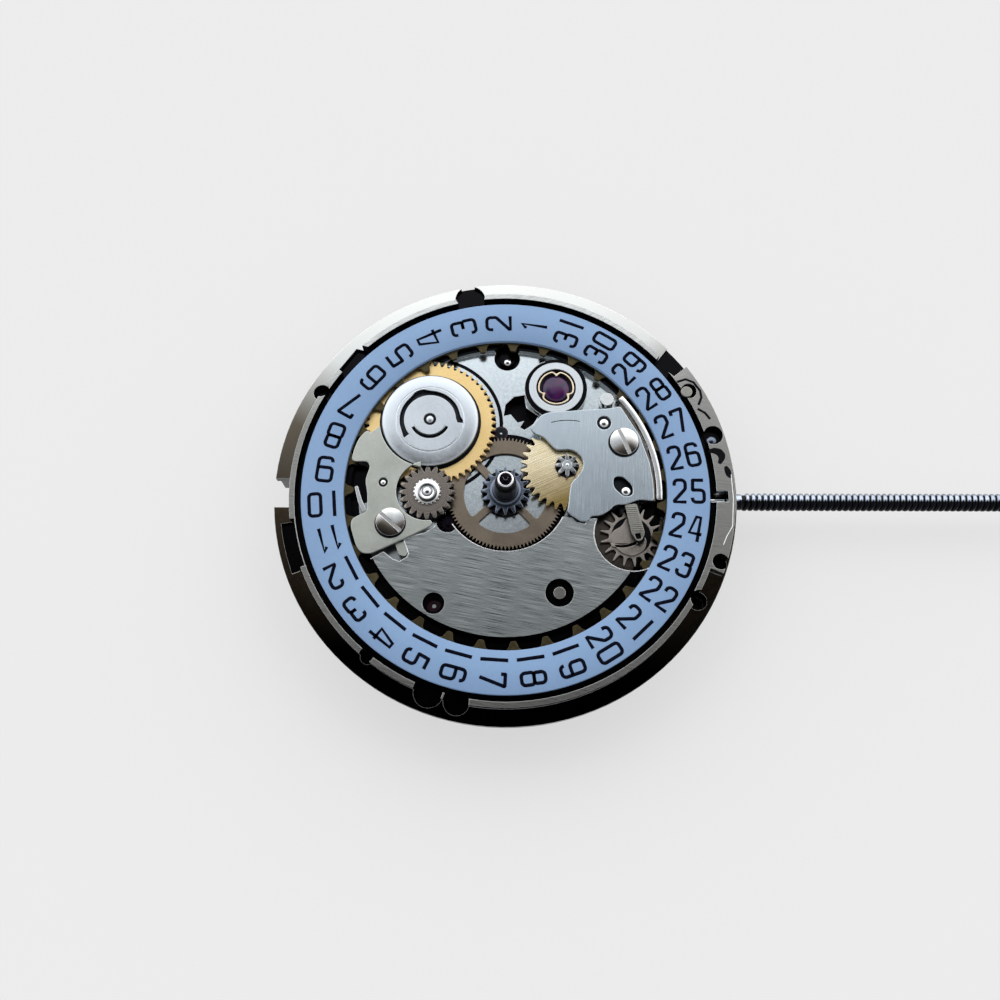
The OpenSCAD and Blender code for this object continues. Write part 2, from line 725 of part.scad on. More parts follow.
module calendar_sheet() slab(sheet_z - sheet_t, sheet_z) children();

module date_ring_keeper() color("darkgray") calendar_sheet() difference() {
    polygon(works_r * keeper_shares);
    translate(inter_pos) circle(keeper_hollow_r);
    translate(drive_pos) circle(finger_r + 2 * gap);
    translate(keeper_screw_pos) circle(calendar_shank_r + 2 * run);
    translate(keeper_pin_pos) circle(calendar_pin_r + 2 * run);
}

module calendar_bridge() color("lightsteelblue") calendar_sheet() difference() {
    polygon(works_r * bridge_shares);
    translate(bridge_screw_pos) circle(calendar_shank_r + 2 * run);
    translate(bridge_pin_pos) circle(calendar_pin_r + 2 * run);
    translate(setting_pos) circle(stud_r + 2 * run);
    translate(corrector_pos) circle(corrector_r + gap);
}

module date_jumper() color("silver") {
    calendar_sheet() {
        intersection() {
            difference() {
                circle(jumper_r);
                circle(jumper_r - jumper_w);
            }
            polygon([[0, 0], polar(2 * works_r, jumper_start), polar(2 * works_r, jumper_dir)]);
        }
        translate(polar(jumper_end_at, jumper_dir)) circle(jumper_end_r);
    }
    at(polar(jumper_post_at, jumper_dir)) rod(jumper_post_r, floor_z, sheet_z - over);
    at([jumper_nose_at, 0]) rod(jumper_nose_r, jumper_nose_z, sheet_z - over);
}

module corrector_lever() color("silver") slab(tongue_low, sheet_z - run)
    polygon(works_r * tongue_shares);

module corrector_wheel() color("silver") at(corrector_pos) {
    gear(2 * corrector_r / (corrector_teeth + 1.8), corrector_teeth, corrector_low, corrector_top);
    rod(corrector_hub_r, corrector_top - run, corrector_hub_top);
    rod(stud_r, corrector_foot, corrector_top + run);
}

module date_driving_wheel() color("gold") at(drive_pos)
    gear(date_module, drive_teeth, drive_low, drive_top, stud_r + run);

module date_finger_disc() color("lightgray") at(drive_pos) difference() {
    union() {
        rod(finger_r, sheet_z - finger_t, sheet_z);
        rod(finger_hub_r, drive_top, sheet_z);
        tube(finger_r, finger_r - finger_skirt_w, sheet_z - finger_skirt, sheet_z);
    }
    rod(stud_r + run, drive_top - over, over);
    for (s = finger_slots) slab(drive_top - over, over) intersection() {
        difference() {
            circle(s[0]);
            circle(s[1]);
        }
        polygon(concat([[0, 0]], [for (i = [0 : 3]) polar(2 * s[0], s[2] + i * (s[3] - s[2]) / 3)]));
    }
}

module date_intermediate_wheel() color("silver") at(inter_pos) difference() {
    union() {
        gear(inter_crown_module, inter_crown_teeth, inter_crown_low, inter_crown_top);
        rod(inter_hub_r, inter_crown_top - run, inter_hub_top);
        gear(date_module, inter_teeth, inter_low, inter_top,
            0, mesh_phase(inter_teeth, inter_dir, drive_teeth, 0));
    }
    rod(stud_r + run, floor_z, over);
}

module minute_wheel() color("goldenrod") at(minute_pos) difference() {
    union() {
        gear(motion_module, minute_teeth, minute_low, minute_top, 0,
            mesh_phase(minute_teeth, minute_dir, cannon_teeth, 0));
        gear(motion_module, minute_leaves, minute_top, minute_leaves_top);
        rod(minute_foot_r, floor_z + run, minute_low);
    }
    rod(stud_r + run, floor_z - over, over);
}

module cannon_pinion() color("steelblue") difference() {
    union() {
        gear(motion_module, cannon_teeth, cannon_low, cannon_top);
        rod(cannon_collar_r, cannon_top, cannon_collar_top);
        rod(hour_seat_r, cannon_foot, minute_seat_z - hour_seat_drop);
        rod(minute_seat_r, cannon_collar_top, minute_seat_z);
    }
    rod(centre_tube_r + run, cannon_foot - over, centre_tube_top + gap);
    rod(seconds_arbor_r + 2 * run, centre_tube_top, minute_seat_z + over);
}

module cannon_driving_wheel() color("rosybrown") difference() {
    spoked(cannon_drive_module, cannon_drive_teeth, cannon_drive_low, cannon_drive_top,
        cannon_drive_rim, cannon_drive_hub, 4);
    rod(centre_tube_r + run, cannon_drive_low - over, 0);
}

module setting_wheel() color("silver") at(setting_pos) {
    gear(motion_module, setting_teeth, setting_low, setting_top, 0,
        mesh_phase(setting_teeth, setting_dir, minute_teeth,
            mesh_phase(minute_teeth, minute_dir, cannon_teeth, 0)));
    rod(stud_r, setting_foot, sheet_z);
    rod(setting_foot_r, setting_foot, setting_foot + setting_foot_t);
}

module calendar_screws() color("silver") for (p = [[keeper_screw_pos, -42], [bridge_screw_pos, -68]])
    at(p[0], sheet_z + run / 2)
        screw(calendar_head_r, calendar_head_t, calendar_shank_r, calendar_depth, p[1], -1);

module shock_block_front() color("silver") at(balance_pos) difference() {
    rod(shock_r - run, shock_top - shock_t, shock_top);
    rod(shock_cup_r, shock_top - shock_cup_t, shock_top + over);
    rod(pivot_r + run, shock_top - 2 * shock_t, shock_top);
}
module shock_spring_front() color("gold") at(balance_pos) slab(lobe_low, lobe_top) difference() {
    union() {
        circle(lobe_ring_r);
        for (a = [30, 150, 270]) rotate(a) translate([lobe_place_r, 0]) circle(lobe_r);
    }
    circle(lobe_hole_r);
}
module cap_jewel_front() color("purple") at(balance_pos)
    rod(cap_jewel_r, cap_jewel_low, cap_jewel_top);

module jewel(low, high) tube(jewel_r - press, pivot_r + run, low, high);
module plate_jewels() color("crimson") {
    for (p = [first_pos, third_pos]) at(p) jewel(pocket_z, floor_z - gap - over);
    for (p = [escape_pos, pallet_pos]) at(p) jewel(plate_jewel_low, floor_z);
}

module winding_stem() color("silver") translate([0, 0, stem_z]) rotate([0, 90, 0]) {
    rod(pilot_r, pilot_x, square_x + over);
    translate([-square_half, -square_half, square_x])
        cube([2 * square_half, 2 * square_half, winding_x - square_x]);
    rod(stem_mid_r, winding_x - over, groove_x - stem_collar);
    rod(stem_r, groove_x - stem_collar, groove_x);
    rod(undercut_r, groove_x - over, groove_x + groove_len + over);
    rod(stem_r, groove_x + groove_len, flange_r - undercut_len);
    rod(undercut_r, flange_r - undercut_len - over, flange_r + thread_gap);
    rod(thread_r, flange_r + thread_gap, stem_end_x);
}

module winding_pinion() color("silver") translate([winding_x, 0, stem_z]) rotate([0, 90, 0])
    difference() {
        union() {
            gear(winding_module, winding_teeth, winding_len - winding_face, winding_len - run);
            rod(winding_hub_r, 0, winding_len - winding_face + 2 * gap);
        }
        rod(stem_mid_r + run, -over, winding_len + over);
    }

module sliding_pinion() color("silver") translate([sliding_x, 0, stem_z]) rotate([0, 90, 0])
    difference() {
        union() {
            rod(sliding_r, 0, sliding_head);
            rod(sliding_neck_r, sliding_head - 2 * gap, sliding_neck_end);
            rod(sliding_r, sliding_neck_end - gap, sliding_len);
        }
        translate([-square_half - run, -square_half - run, -over])
            cube([2 * (square_half + run), 2 * (square_half + run), sliding_len + 2 * over]);
    }

module lever_arm(from, tip, wide, nose) hull() {
    translate(from) circle(wide, $fn = 32);
    translate(tip) circle(nose, $fn = 32);
}
module setting_lever() color("silver") slab(lever_z, lever_z + lever_t)
    lever_arm(lever_pivot, [groove_x + groove_len / 2, lever_nose_y], lever_r, lever_nose_r);
module yoke() color("silver") slab(lever_z, lever_z + lever_t)
    lever_arm(yoke_pivot, [sliding_x + yoke_nose[0], yoke_nose[1]], yoke_r, yoke_nose_r);
module stem_box(b) translate([groove_x + b[0], b[1]]) square([b[2], b[3]]);
module lever_jumper() color("silver") slab(back_z - lever_jumper_t, back_z - run) difference() {
    stem_box(lever_jumper_box);
    stem_box(lever_jumper_cut);
}

module barrel_drum() color("khaki") at(barrel_pos) difference() {
    union() {
        gear(barrel_module, barrel_teeth, barrel_top - drum_tooth_t, barrel_top - run);
        rod(drum_r, barrel_low, barrel_top - run);
    }
    rod(drum_r - drum_wall, barrel_low - over, barrel_top - drum_floor_t);
    rod(barrel_hole_r, barrel_low, 0);
}
module barrel_cover() color("khaki") at(barrel_pos)
    tube(drum_r - drum_wall - run, barrel_hole_r, barrel_low, barrel_low + cover_t);
module mainspring() color("slategray") at(barrel_pos)
    tube(drum_r - drum_wall - gap, spring_in_r, barrel_low + cover_t + 2 * run,
        barrel_top - drum_floor_t - 3 * run);
module barrel_arbor() color("silver") at(barrel_pos) {
    rod(barrel_pivot_r, barrel_pivot_low, barrel_pivot_top);
    rod(barrel_hole_r - run, barrel_low, barrel_top - 2 * gap);
    rod(barrel_core_r, barrel_low + 4 * gap, barrel_top - 5 * gap);
    rod(barrel_hole_r - run, wind_low - run, barrel_low + over);
}

module bridge_body(shares) slab(bridge_z, back_z) intersection() {
    polygon(body_r * shares);
    circle(bridge_edge_r);
}
module train_cuts() {
    rod(seconds_room_r, bridge_z + bridge_web, back_z + over);
    at(third_pos) rod(third_wheel_room_r, bridge_z + bridge_deep_web, back_z + over);
    at(escape_pos) rod(escape_hub_room_r, bridge_z + bridge_web, back_z + over);
    at(first_pos) rod(first_hub_room_r, bridge_z + bridge_deep_web, back_z + over);
    at(balance_pos) rod(balance_r + balance_room, bridge_z + bridge_web, back_z + over);
    bore_cuts(bridge_screw_places, bridge_shank_r + 2 * run, bridge_z, back_z);
    bore_cuts(auto_places, auto_shank_r + run, bridge_z, back_z);
}
module barrel_bridge() color("silver") difference() {
    bridge_body(barrel_bridge_shares);
    train_cuts();
    at(barrel_pos) rod(barrel_hole_r, bridge_z - over, back_z + over);
    at(barrel_pos) rod(barrel_r + 2 * gap, back_z - gap, back_z + over);
    keyless_room(bridge_z - over, back_z + over, bridge_z + 2 * gap);
    slab(back_z - lever_jumper_room_t, back_z + over) stem_box(lever_jumper_room);
    at(crown_pos) rod(crown_pivot_r, bridge_z - over, bridge_z + 2 * gap);
    at(reduction_pos) rod(reduction_pivot_r + run, bridge_z - over, bridge_z + bridge_web);
}
module train_bridge() color("silver") difference() {
    bridge_body(train_bridge_shares);
    train_cuts();
    bore_cuts([[0, 0], first_pos, third_pos, escape_pos], jewel_r, bridge_z, back_z);
    at(pallet_pos) rod(pallet_window_r, bridge_z - over, back_z + over);
}
module bridge_screws() color("silver") for (p = bridge_screw_places) at(p, bridge_z - run)
    screw(bridge_screw_r, head_t, bridge_shank_r, bridge_shank_depth, bridge_screw_turn);
module bridge_jewels() color("crimson") for (p = [[0, 0], first_pos, third_pos, escape_pos])
    at(p) jewel(bridge_z, bridge_z + bridge_jewel_t);

module arbor(low, high, lower_tip, upper_tip) {
    rod(arbor_r, low, high);
    rod(pivot_r, lower_tip, upper_tip);
}
module intermediate_wheel() color("gold") at(first_pos) {
    spoked(second_module, first_wheel_teeth, first_z, first_z + wheel_t,
        first_rim_in, first_hub_r, train_spokes);
    gear(barrel_module, first_teeth, barrel_top - first_pinion_len, first_z + over, 0,
        mesh_phase(first_teeth, dir_to(barrel_pos, first_pos), barrel_teeth, 0));
    arbor(arbor_low, first_z + wheel_t + run, bridge_z + gap, floor_z - 3 * gap);
}
module third_wheel() color("gold") at(third_pos) {
    spoked(seconds_module, third_wheel_teeth, third_z, third_z + wheel_t,
        third_rim_in, train_hub_r, train_spokes);
    gear(second_module, third_leaves, first_z - 3 * run, first_z + wheel_t + run, 0,
        mesh_phase(third_leaves, dir_to(first_pos, third_pos), first_wheel_teeth, 0));
    arbor(arbor_low, first_z + wheel_t, bridge_z + gap, third_tip_z);
    gear(cannon_drive_module, third_drive_leaves, floor_z, cannon_drive_top + 2 * run, 0,
        mesh_phase(third_drive_leaves, third_dir, cannon_drive_teeth, 0));
}
module seconds_wheel() color("gold") {
    spoked(escape_module, seconds_wheel_teeth, seconds_z, seconds_z + wheel_t,
        seconds_rim_in, train_hub_r, train_spokes);
    gear(seconds_module, seconds_leaves, seconds_z, third_z + wheel_t + 3 * run, 0,
        mesh_phase(seconds_leaves, dir_to(third_pos, [0, 0]), third_wheel_teeth, 0));
    rod(pivot_r, bridge_z + gap, seconds_z + over);
    rod(seconds_arbor_r, seconds_z, minute_seat_z);
    rod(seconds_pivot_r, minute_seat_z - over, minute_seat_z + seconds_pivot_len);
}
module escape_wheel() color("silver") at(escape_pos) {
    slab(escape_z, escape_z + wheel_t) difference() {
        polygon([for (i = [0 : escape_teeth - 1]) for (s = [[escape_r - escape_depth, 0],
            [escape_r, 5], [escape_r, 7], [escape_r - escape_depth + gap, 9]])
            polar(s[0], 360 / escape_teeth * i + s[1])]);
        for (i = [0 : 3]) rotate(90 * i) translate([escape_window_at, 0])
            circle(escape_window_r);
    }
    gear(escape_module, escape_leaves, seconds_z - over, seconds_z + wheel_t + over, 0,
        mesh_phase(escape_leaves, escape_dir, seconds_wheel_teeth, 0));
    rod(escape_arbor_r, seconds_z, upper_arbor_top);
    rod(pivot_r, bridge_z + gap, upper_tip_z);
}
module pallet_fork() color("silver") at(pallet_pos) {
    slab(pallet_z, pallet_z + fork_t) difference() {
        union() {
            lever_arm([0, 0], polar(fork_reach - 2 * fork_head_in, fork_dir), fork_r, fork_r);
            translate(polar(fork_reach - fork_head_in, fork_dir)) circle(fork_head_r);
            for (a = [-stone_turn, stone_turn])
                lever_arm([0, 0], polar(stone_r, stone_dir + a), arbor_r, stone_arm_r);
        }
        translate(polar(fork_reach, fork_dir)) rotate(fork_dir) square(fork_notch, center = true);
    }
    rod(fork_arbor_r, pallet_z, upper_arbor_top);
    rod(pivot_r, back_z + run / 2, upper_tip_z);
}
module pallet_stones() color("crimson") at(pallet_pos) for (a = [-stone_turn, stone_turn])
    at(polar(stone_r, stone_dir + a)) slab(pallet_z + fork_t, pallet_z + 2 * fork_t)
        rotate(stone_dir + a) square(stone_size, center = true);
module pallet_bridge() color("silver") difference() {
    slab(back_z, back_z + pallet_bridge_t) lever_arm(pallet_pos,
        pallet_pos + polar(pallet_bridge_len, pallet_bridge_dir), pallet_bridge_r, pallet_bridge_r);
    at(pallet_pos) rod(pivot_r + run, back_z - over, 0);
}

module balance_wheel() color("gold") at(balance_pos) {
    tube(balance_r, balance_r - balance_rim_w, balance_z, balance_z + balance_t);
    slab(balance_z + gap, balance_z + balance_t - gap) difference() {
        union() for (a = balance_arm_dirs) rotate(a) translate([0, -balance_arm_w / 2])
            square([balance_r - balance_rim_w + gap, balance_arm_w]);
        circle(staff_r);
    }
}
module balance_staff() color("silver") at(balance_pos) {
    rod(staff_r, staff_low, staff_top);
    rod(pivot_r, staff_tips[0], staff_tips[1]);
    tube(roller_r, arbor_r, roller_low, roller_low + roller_t);
    at(polar(roller_pin_at, fork_dir + 180))
        rod(roller_pin_r, roller_low + run, pallet_z + fork_t + run);
}
function coil(r0, r1) = [for (i = [0 : hair_turns * coil_steps])
    polar(r0 + (r1 - r0) * i / (hair_turns * coil_steps), 360 * i / coil_steps)];
module hairspring() color("steelblue") at(balance_pos) slab(hair_z, hair_z + hair_t)
    polygon(concat(coil(hair_in_r, hair_out_r), [for (i = [hair_turns * coil_steps : -1 : 0])
        coil(hair_in_r + hair_w, hair_out_r + hair_w)[i]]));
module balance_cock() color("silver") difference() {
    bridge_body(cock_shares);
    train_cuts();
    at(balance_pos) rod(shock_bore_r, bridge_z - over, back_z);
}
module regulator() color("silver") at(balance_pos) difference() {
    slab(bridge_z - regulator_t, bridge_z - run) {
        circle(regulator_r);
        rotate(regulator_dir) translate([0, -regulator_w / 2]) square([regulator_len, regulator_w]);
    }
    rod(regulator_bore_r, bridge_z - regulator_t - over, bridge_z);
}
module shock_block_back() color("silver") at(balance_pos) difference() {
    union() {
        rod(shock_bore_r - run, bridge_z - 2 * gap, bridge_z + bridge_jewel_t);
        rod(back_shock_r, bridge_z - back_shock_t, bridge_z - run / 2);
    }
    rod(back_cup_r, bridge_z - back_shock_t - over, bridge_z + 2 * gap);
    rod(pivot_r + run, bridge_z - over, 0);
}
module cap_jewel_back() color("purple") at(balance_pos)
    rod(cap_jewel_r, bridge_z - cap_back_low, bridge_z + cap_back_top);

module ratchet_wheel() color("silver") at(barrel_pos) difference() {
    gear(wind_module, ratchet_teeth, wind_low, wind_z);
    rod(barrel_hole_r, wind_low - over, 0);
}
module crown_wheel() color("silver") at(crown_pos) {
    gear(wind_module, crown_teeth, wind_low, wind_z, 0,
        mesh_phase(crown_teeth, crown_dir, ratchet_teeth, 0));
    rod(crown_pivot_r - run, wind_low, bridge_z + 2 * gap - run);
}
module click() color("silver") at(click_pos) slab(wind_low, wind_z)
    lever_arm([0, 0], polar(click_len, click_dir), click_r, click_nose_r);
module click_spring() color("silver") slab(wind_low, wind_z) difference() {
    translate(click_pos + click_spring_at) square(click_spring_size);
    translate(click_pos + click_spring_at + [click_spring_w, click_spring_w])
        square(click_spring_size - [0.75 * click_spring_w, 2 * click_spring_w]);
}

module automatic_bridge() color("silver") difference() {
    slab(auto_low, auto_top) {
        circle(auto_hub_r);
        translate(rev_a_pos) circle(rev_lug_r);
        translate(rev_b_pos) circle(rev_lug_r);
        for (p = auto_places) {
            translate(p) circle(auto_lug_r);
            lever_arm([0, 0], p, auto_arm_r, auto_arm_end_r);
        }
    }
    tube(rotor_pinion_room_r, auto_boss_r, auto_low - over, auto_low + auto_deep);
    rod(auto_pivot_r, auto_low - 2 * over, auto_low + auto_pivot_depth);
    for (p = [rev_a_pos, rev_b_pos])
        at(p) tube(rev_room_r, rev_pivot_r, auto_low - over, auto_low + auto_deep);
    at(reduction_pos) rod(reduction_r + 3 * gap, auto_low - over, auto_low + auto_deep - 2 * run);
    at(reduction_pos) rod(reduction_leaf_room_r, auto_low - over, 0);
    at(barrel_pos) rod(ratchet_room_r, wind_low - 3 * run, 0);
    at(crown_pos) rod(crown_room_r, wind_low - 3 * run, 0);
    at(balance_pos) rod(auto_balance_room_r, auto_low - over, 0);
    bore_cuts(auto_places, auto_shank_r + run, auto_low, auto_top);
}
module automatic_screws() color("silver") for (p = auto_places) at(p, auto_low - run / 2)
    screw(auto_head_r, auto_head_t, auto_shank_r, auto_shank_depth, auto_screw_turn);
module reversing(phase) difference() {
    union() {
        gear(wind_module, rev_teeth, auto_low + run, auto_low + rev_t, 0, phase);
        gear(wind_module, rev_leaves, auto_low + rev_t - run / 2, auto_low + auto_deep - 2 * run);
    }
    rod(rev_pivot_r + run, auto_low - over, 0);
}
module reversing_wheel_a() color("silver") at(rev_a_pos) reversing(rev_a_phase);
module reversing_wheel_b() color("silver") at(rev_b_pos)
    reversing(mesh_phase(rev_teeth, rev_b_dir, rev_teeth, rev_a_phase));
module reduction_wheel() color("gold") at(reduction_pos) {
    gear(wind_module, reduction_teeth, auto_low + reduction_rise,
        auto_low + reduction_rise + wheel_t, 0,
        mesh_phase(reduction_teeth, dir_to(rev_a_pos, reduction_pos), rev_leaves, 0));
    gear(wind_module, rev_leaves, auto_low + reduction_rise + wheel_t / 2, wind_z - run, 0,
        mesh_phase(rev_leaves, reduction_dir, ratchet_teeth, 0));
    rod(reduction_pivot_r, auto_low + gap, bridge_z + 4 * gap);
}

module half_moon(r) intersection() {
    circle(r);
    translate([-r - over, -r - over]) square([2 * (r + over), r + over]);
}
module rotor_plate() color("silver") {
    slab(rotor_plate_low, rotor_plate_top) difference() {
        union() {
            half_moon(rotor_rim_r + rotor_seat);
            circle(rotor_hub_r);
        }
        circle(rotor_bore_r);
        for (a = rotor_window_dirs) translate(polar(rotor_window_at, a)) circle(rotor_window_r);
    }
    tube(rotor_hub_r, rotor_bore_r, -total_h, rotor_plate_low + over);
    tube(rotor_step_r, bearing_r, rotor_plate_top - 2 * run, rotor_plate_top + run);
    gear(wind_module, rotor_teeth, rotor_plate_top, auto_low + auto_deep / 2, bearing_r);
}
module rotor_rim() color("dimgray") difference() {
    slab(-total_h, bridge_z - rotor_rim_drop) half_moon(rotor_r);
    rod(rotor_rim_r, -total_h - over, 0);
    slab(rotor_plate_low, rotor_plate_top) half_moon(rotor_rim_r + rotor_seat + run);
}
module rotor_bearing() color("silver") {
    tube(bearing_in_r, bearing_screw_r + run, -total_h, auto_low - run);
    for (i = [0 : balls - 1])
        at(polar(ball_at, i * 360 / balls), -total_h + ball_r) sphere(ball_r);
}
module rotor_screw() color("silver")
    rod(bearing_screw_r, -total_h + run, auto_low + bridge_web);

mainplate();
date_ring();
date_ring_keeper();
calendar_bridge();
date_jumper();
corrector_lever();
corrector_wheel();
date_driving_wheel();
date_finger_disc();
date_intermediate_wheel();
minute_wheel();
cannon_pinion();
cannon_driving_wheel();
setting_wheel();
calendar_screws();
shock_block_front();
shock_spring_front();
cap_jewel_front();
plate_jewels();
winding_stem();
winding_pinion();
sliding_pinion();
setting_lever();
yoke();
lever_jumper();
barrel_drum();
barrel_cover();
barrel_arbor();
mainspring();
barrel_bridge();
train_bridge();
bridge_screws();
bridge_jewels();
intermediate_wheel();
third_wheel();
seconds_wheel();
escape_wheel();
pallet_fork();
pallet_stones();
pallet_bridge();
balance_wheel();
balance_staff();
hairspring();
balance_cock();
regulator();
shock_block_back();
cap_jewel_back();
ratchet_wheel();
crown_wheel();
click();
click_spring();
automatic_bridge();
automatic_screws();
reversing_wheel_a();
reversing_wheel_b();
reduction_wheel();
rotor_plate();
rotor_rim();
rotor_bearing();
rotor_screw();
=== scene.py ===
# Automatic watch movement, date ring side up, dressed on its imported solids
import math
import bpy
import bmesh
from mathutils import Matrix, Vector


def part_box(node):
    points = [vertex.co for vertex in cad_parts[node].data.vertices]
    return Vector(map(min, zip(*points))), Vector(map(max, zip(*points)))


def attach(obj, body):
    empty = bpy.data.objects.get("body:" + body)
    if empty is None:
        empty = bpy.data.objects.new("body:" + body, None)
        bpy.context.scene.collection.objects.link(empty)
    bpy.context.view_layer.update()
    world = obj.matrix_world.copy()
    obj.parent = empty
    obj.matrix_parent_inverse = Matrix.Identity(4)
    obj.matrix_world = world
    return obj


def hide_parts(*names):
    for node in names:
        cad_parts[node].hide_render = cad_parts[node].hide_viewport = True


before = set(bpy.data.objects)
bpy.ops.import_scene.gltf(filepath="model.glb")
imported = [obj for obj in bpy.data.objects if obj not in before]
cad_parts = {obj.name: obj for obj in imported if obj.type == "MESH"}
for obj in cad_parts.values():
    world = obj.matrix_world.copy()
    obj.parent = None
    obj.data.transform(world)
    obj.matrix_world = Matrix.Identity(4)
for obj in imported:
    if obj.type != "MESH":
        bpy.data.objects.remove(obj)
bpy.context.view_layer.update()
mm = 0.001
scene = bpy.context.scene
print("frame loaded")

# the camera fitted to the photograph: its place in mm and its three axes
view = {"place": (-0.25944, -18.12447, 56.75835), "right": (0.999997, 0.002428, 0.0),
        "up": (-0.002321, 0.955821, 0.293939), "back": (0.000714, -0.293938, 0.955824), "lens": 38.52,
        "sensor": 36, "near": 0.0005, "far": 20}
# centres of the wheels and of the shock setting on the dial side, in mm
driveAt, interAt, minuteAt = (-4.3, 4.15), (-4.374, -0.107), (3.471, 1.445)
settingAt, correctorAt, shockAt = (6.723, -0.099), (7.0, -2.55), (2.92, 6.25)


def makeCamera(v):
    data = bpy.data.cameras.new("photo_camera")
    data.lens, data.sensor_width, data.clip_start, data.clip_end = v["lens"], v["sensor"], v["near"], v["far"]
    camera = bpy.data.objects.new("photo_camera", data)
    scene.collection.objects.link(camera)
    turned = Matrix((v["right"], v["up"], v["back"])).transposed().to_4x4()
    camera.matrix_world = Matrix.Translation(Vector(v["place"]) * mm) @ turned
    scene.camera = camera
    scene.view_settings.view_transform = "Standard"


makeCamera(view)


def feed(made, sockets):
    # links or sets the inputs of a node by name or number
    for key, value in dict(sockets).items():
        socket = made.inputs[key]
        if isinstance(value, bpy.types.NodeSocket):
            value.id_data.links.new(value, socket)
        else:
            socket.default_value = (*value, 1) if socket.type == "RGBA" and len(value) == 3 else value
    return made


def node(tree, kind, sockets=(), **values):
    made = tree.nodes.new(kind)
    for key, value in values.items():
        setattr(made, key, value)
    return feed(made, sockets)


def place(tree, group, **sockets):
    return node(tree, "ShaderNodeGroup", sockets, node_tree=group)


def maths(operation, *values, clamp=False):
    tree = next(v for v in values if isinstance(v, bpy.types.NodeSocket)).id_data
    return node(tree, "ShaderNodeMath", enumerate(values), operation=operation, use_clamp=clamp).outputs[0]


def plus(a, b):
    return maths("ADD", a, b)


def minus(a, b):
    return maths("SUBTRACT", a, b)


def times(first, *others):
    for other in others:
        first = maths("MULTIPLY", first, other)
    return first


def either(a, b):
    return maths("MAXIMUM", a, b)


def between(value, low, high):
    return times(maths("GREATER_THAN", value, low), maths("LESS_THAN", value, high))


def vectors(operation, a, b=(0, 0, 0)):
    made = node(a.id_data, "ShaderNodeVectorMath", {0: a, 1: b}, operation=operation)
    return made.outputs["Value" if operation in ("DOT_PRODUCT", "DISTANCE", "LENGTH") else 0]


def apart(vector):
    return node(vector.id_data, "ShaderNodeSeparateXYZ", {0: vector}).outputs


def combined(tree, *values):
    return node(tree, "ShaderNodeCombineXYZ", enumerate(values)).outputs[0]


def blend(factor, a, b):
    return node(factor.id_data, "ShaderNodeMix", {0: factor, 6: a, 7: b}, data_type="RGBA").outputs[2]


def spread(value, low, high, start=0.3, stop=0.7, **values):
    sockets = {"Value": value, "From Min": start, "From Max": stop, "To Min": low, "To Max": high}
    return node(value.id_data, "ShaderNodeMapRange", sockets, **values).outputs[0]


def tinted(mask, dark, light, start=0.3, stop=0.7):
    return blend(spread(mask, 0.0, 1.0, start, stop), dark, light)


def shaded(colour, share):
    return tuple(c * share for c in colour)


studio = {"window": ((0.06, (0.02, 0.02, 0.02)), (0.15, (0.07, 0.06, 0.05)), (0.21, (0.23, 0.21, 0.19)),
                     (0.25, (0.50, 0.53, 0.56)), (0.30, (0.64, 0.69, 0.74)), (0.36, (0.90, 0.96, 1.0)),
                     (0.46, (1.8, 1.95, 2.0))),
          "centre": -0.05, "narrowing": 0.5, "front": 0.55, "frontAt": -0.5, "rear": 2.1, "rearAt": 0.6,
          "capFrom": 0.86, "capFull": 0.94, "full": 2.2}


def makeWorld(s):
    # a soft window overhead that turns dark towards the camera, and an even studio round it
    world = bpy.data.worlds.new("soft_studio")
    world.use_nodes = True
    scene.world = world
    tree = world.node_tree
    tree.nodes.clear()
    x, y, z = apart(node(tree, "ShaderNodeTexCoord").outputs["Generated"])
    aside = times(maths("ABSOLUTE", minus(x, s["centre"])), s["narrowing"])
    ramp = node(tree, "ShaderNodeValToRGB", {0: minus(y, aside)})
    elements = ramp.color_ramp.elements
    for number, (at, colour) in enumerate(s["window"]):
        element = elements[number] if number < 2 else elements.new(at)
        element.position = at
        element.color = tuple(c / s["full"] for c in colour) + (1,)
    smooth = {"interpolation_type": "SMOOTHSTEP"}
    around = spread(y, s["front"] / s["full"], s["rear"] / s["full"], s["frontAt"], s["rearAt"], **smooth)
    cap = spread(z, 0.0, 1.0, s["capFrom"], s["capFull"], **smooth)
    light = {"Strength": s["full"], "Color": blend(cap, around, ramp.outputs["Color"])}
    background = node(tree, "ShaderNodeBackground", light)
    node(tree, "ShaderNodeOutputWorld", {"Surface": background.outputs[0]})


makeWorld(studio)

socketKinds = {float: "Float", int: "Int", tuple: "Vector"}


def newTree(name, kind, inputs, outputs):
    # a node group; an input or output without a value is named for its kind
    tree = bpy.data.node_groups.new(name, kind)
    for way, sockets in (("INPUT", inputs), ("OUTPUT", outputs)):
        for label, value in sockets.items():
            socketType = "NodeSocket" + socketKinds.get(type(value), label)
            socket = tree.interface.new_socket(label, in_out=way, socket_type=socketType)
            if value is not None:
                socket.default_value = value
    return tree, node(tree, "NodeGroupInput").outputs, node(tree, "NodeGroupOutput")


nowhere = (0.0, 0.0, 0.0)
maskAndHeight = {"Mask": 0.0, "Height": 0.0}


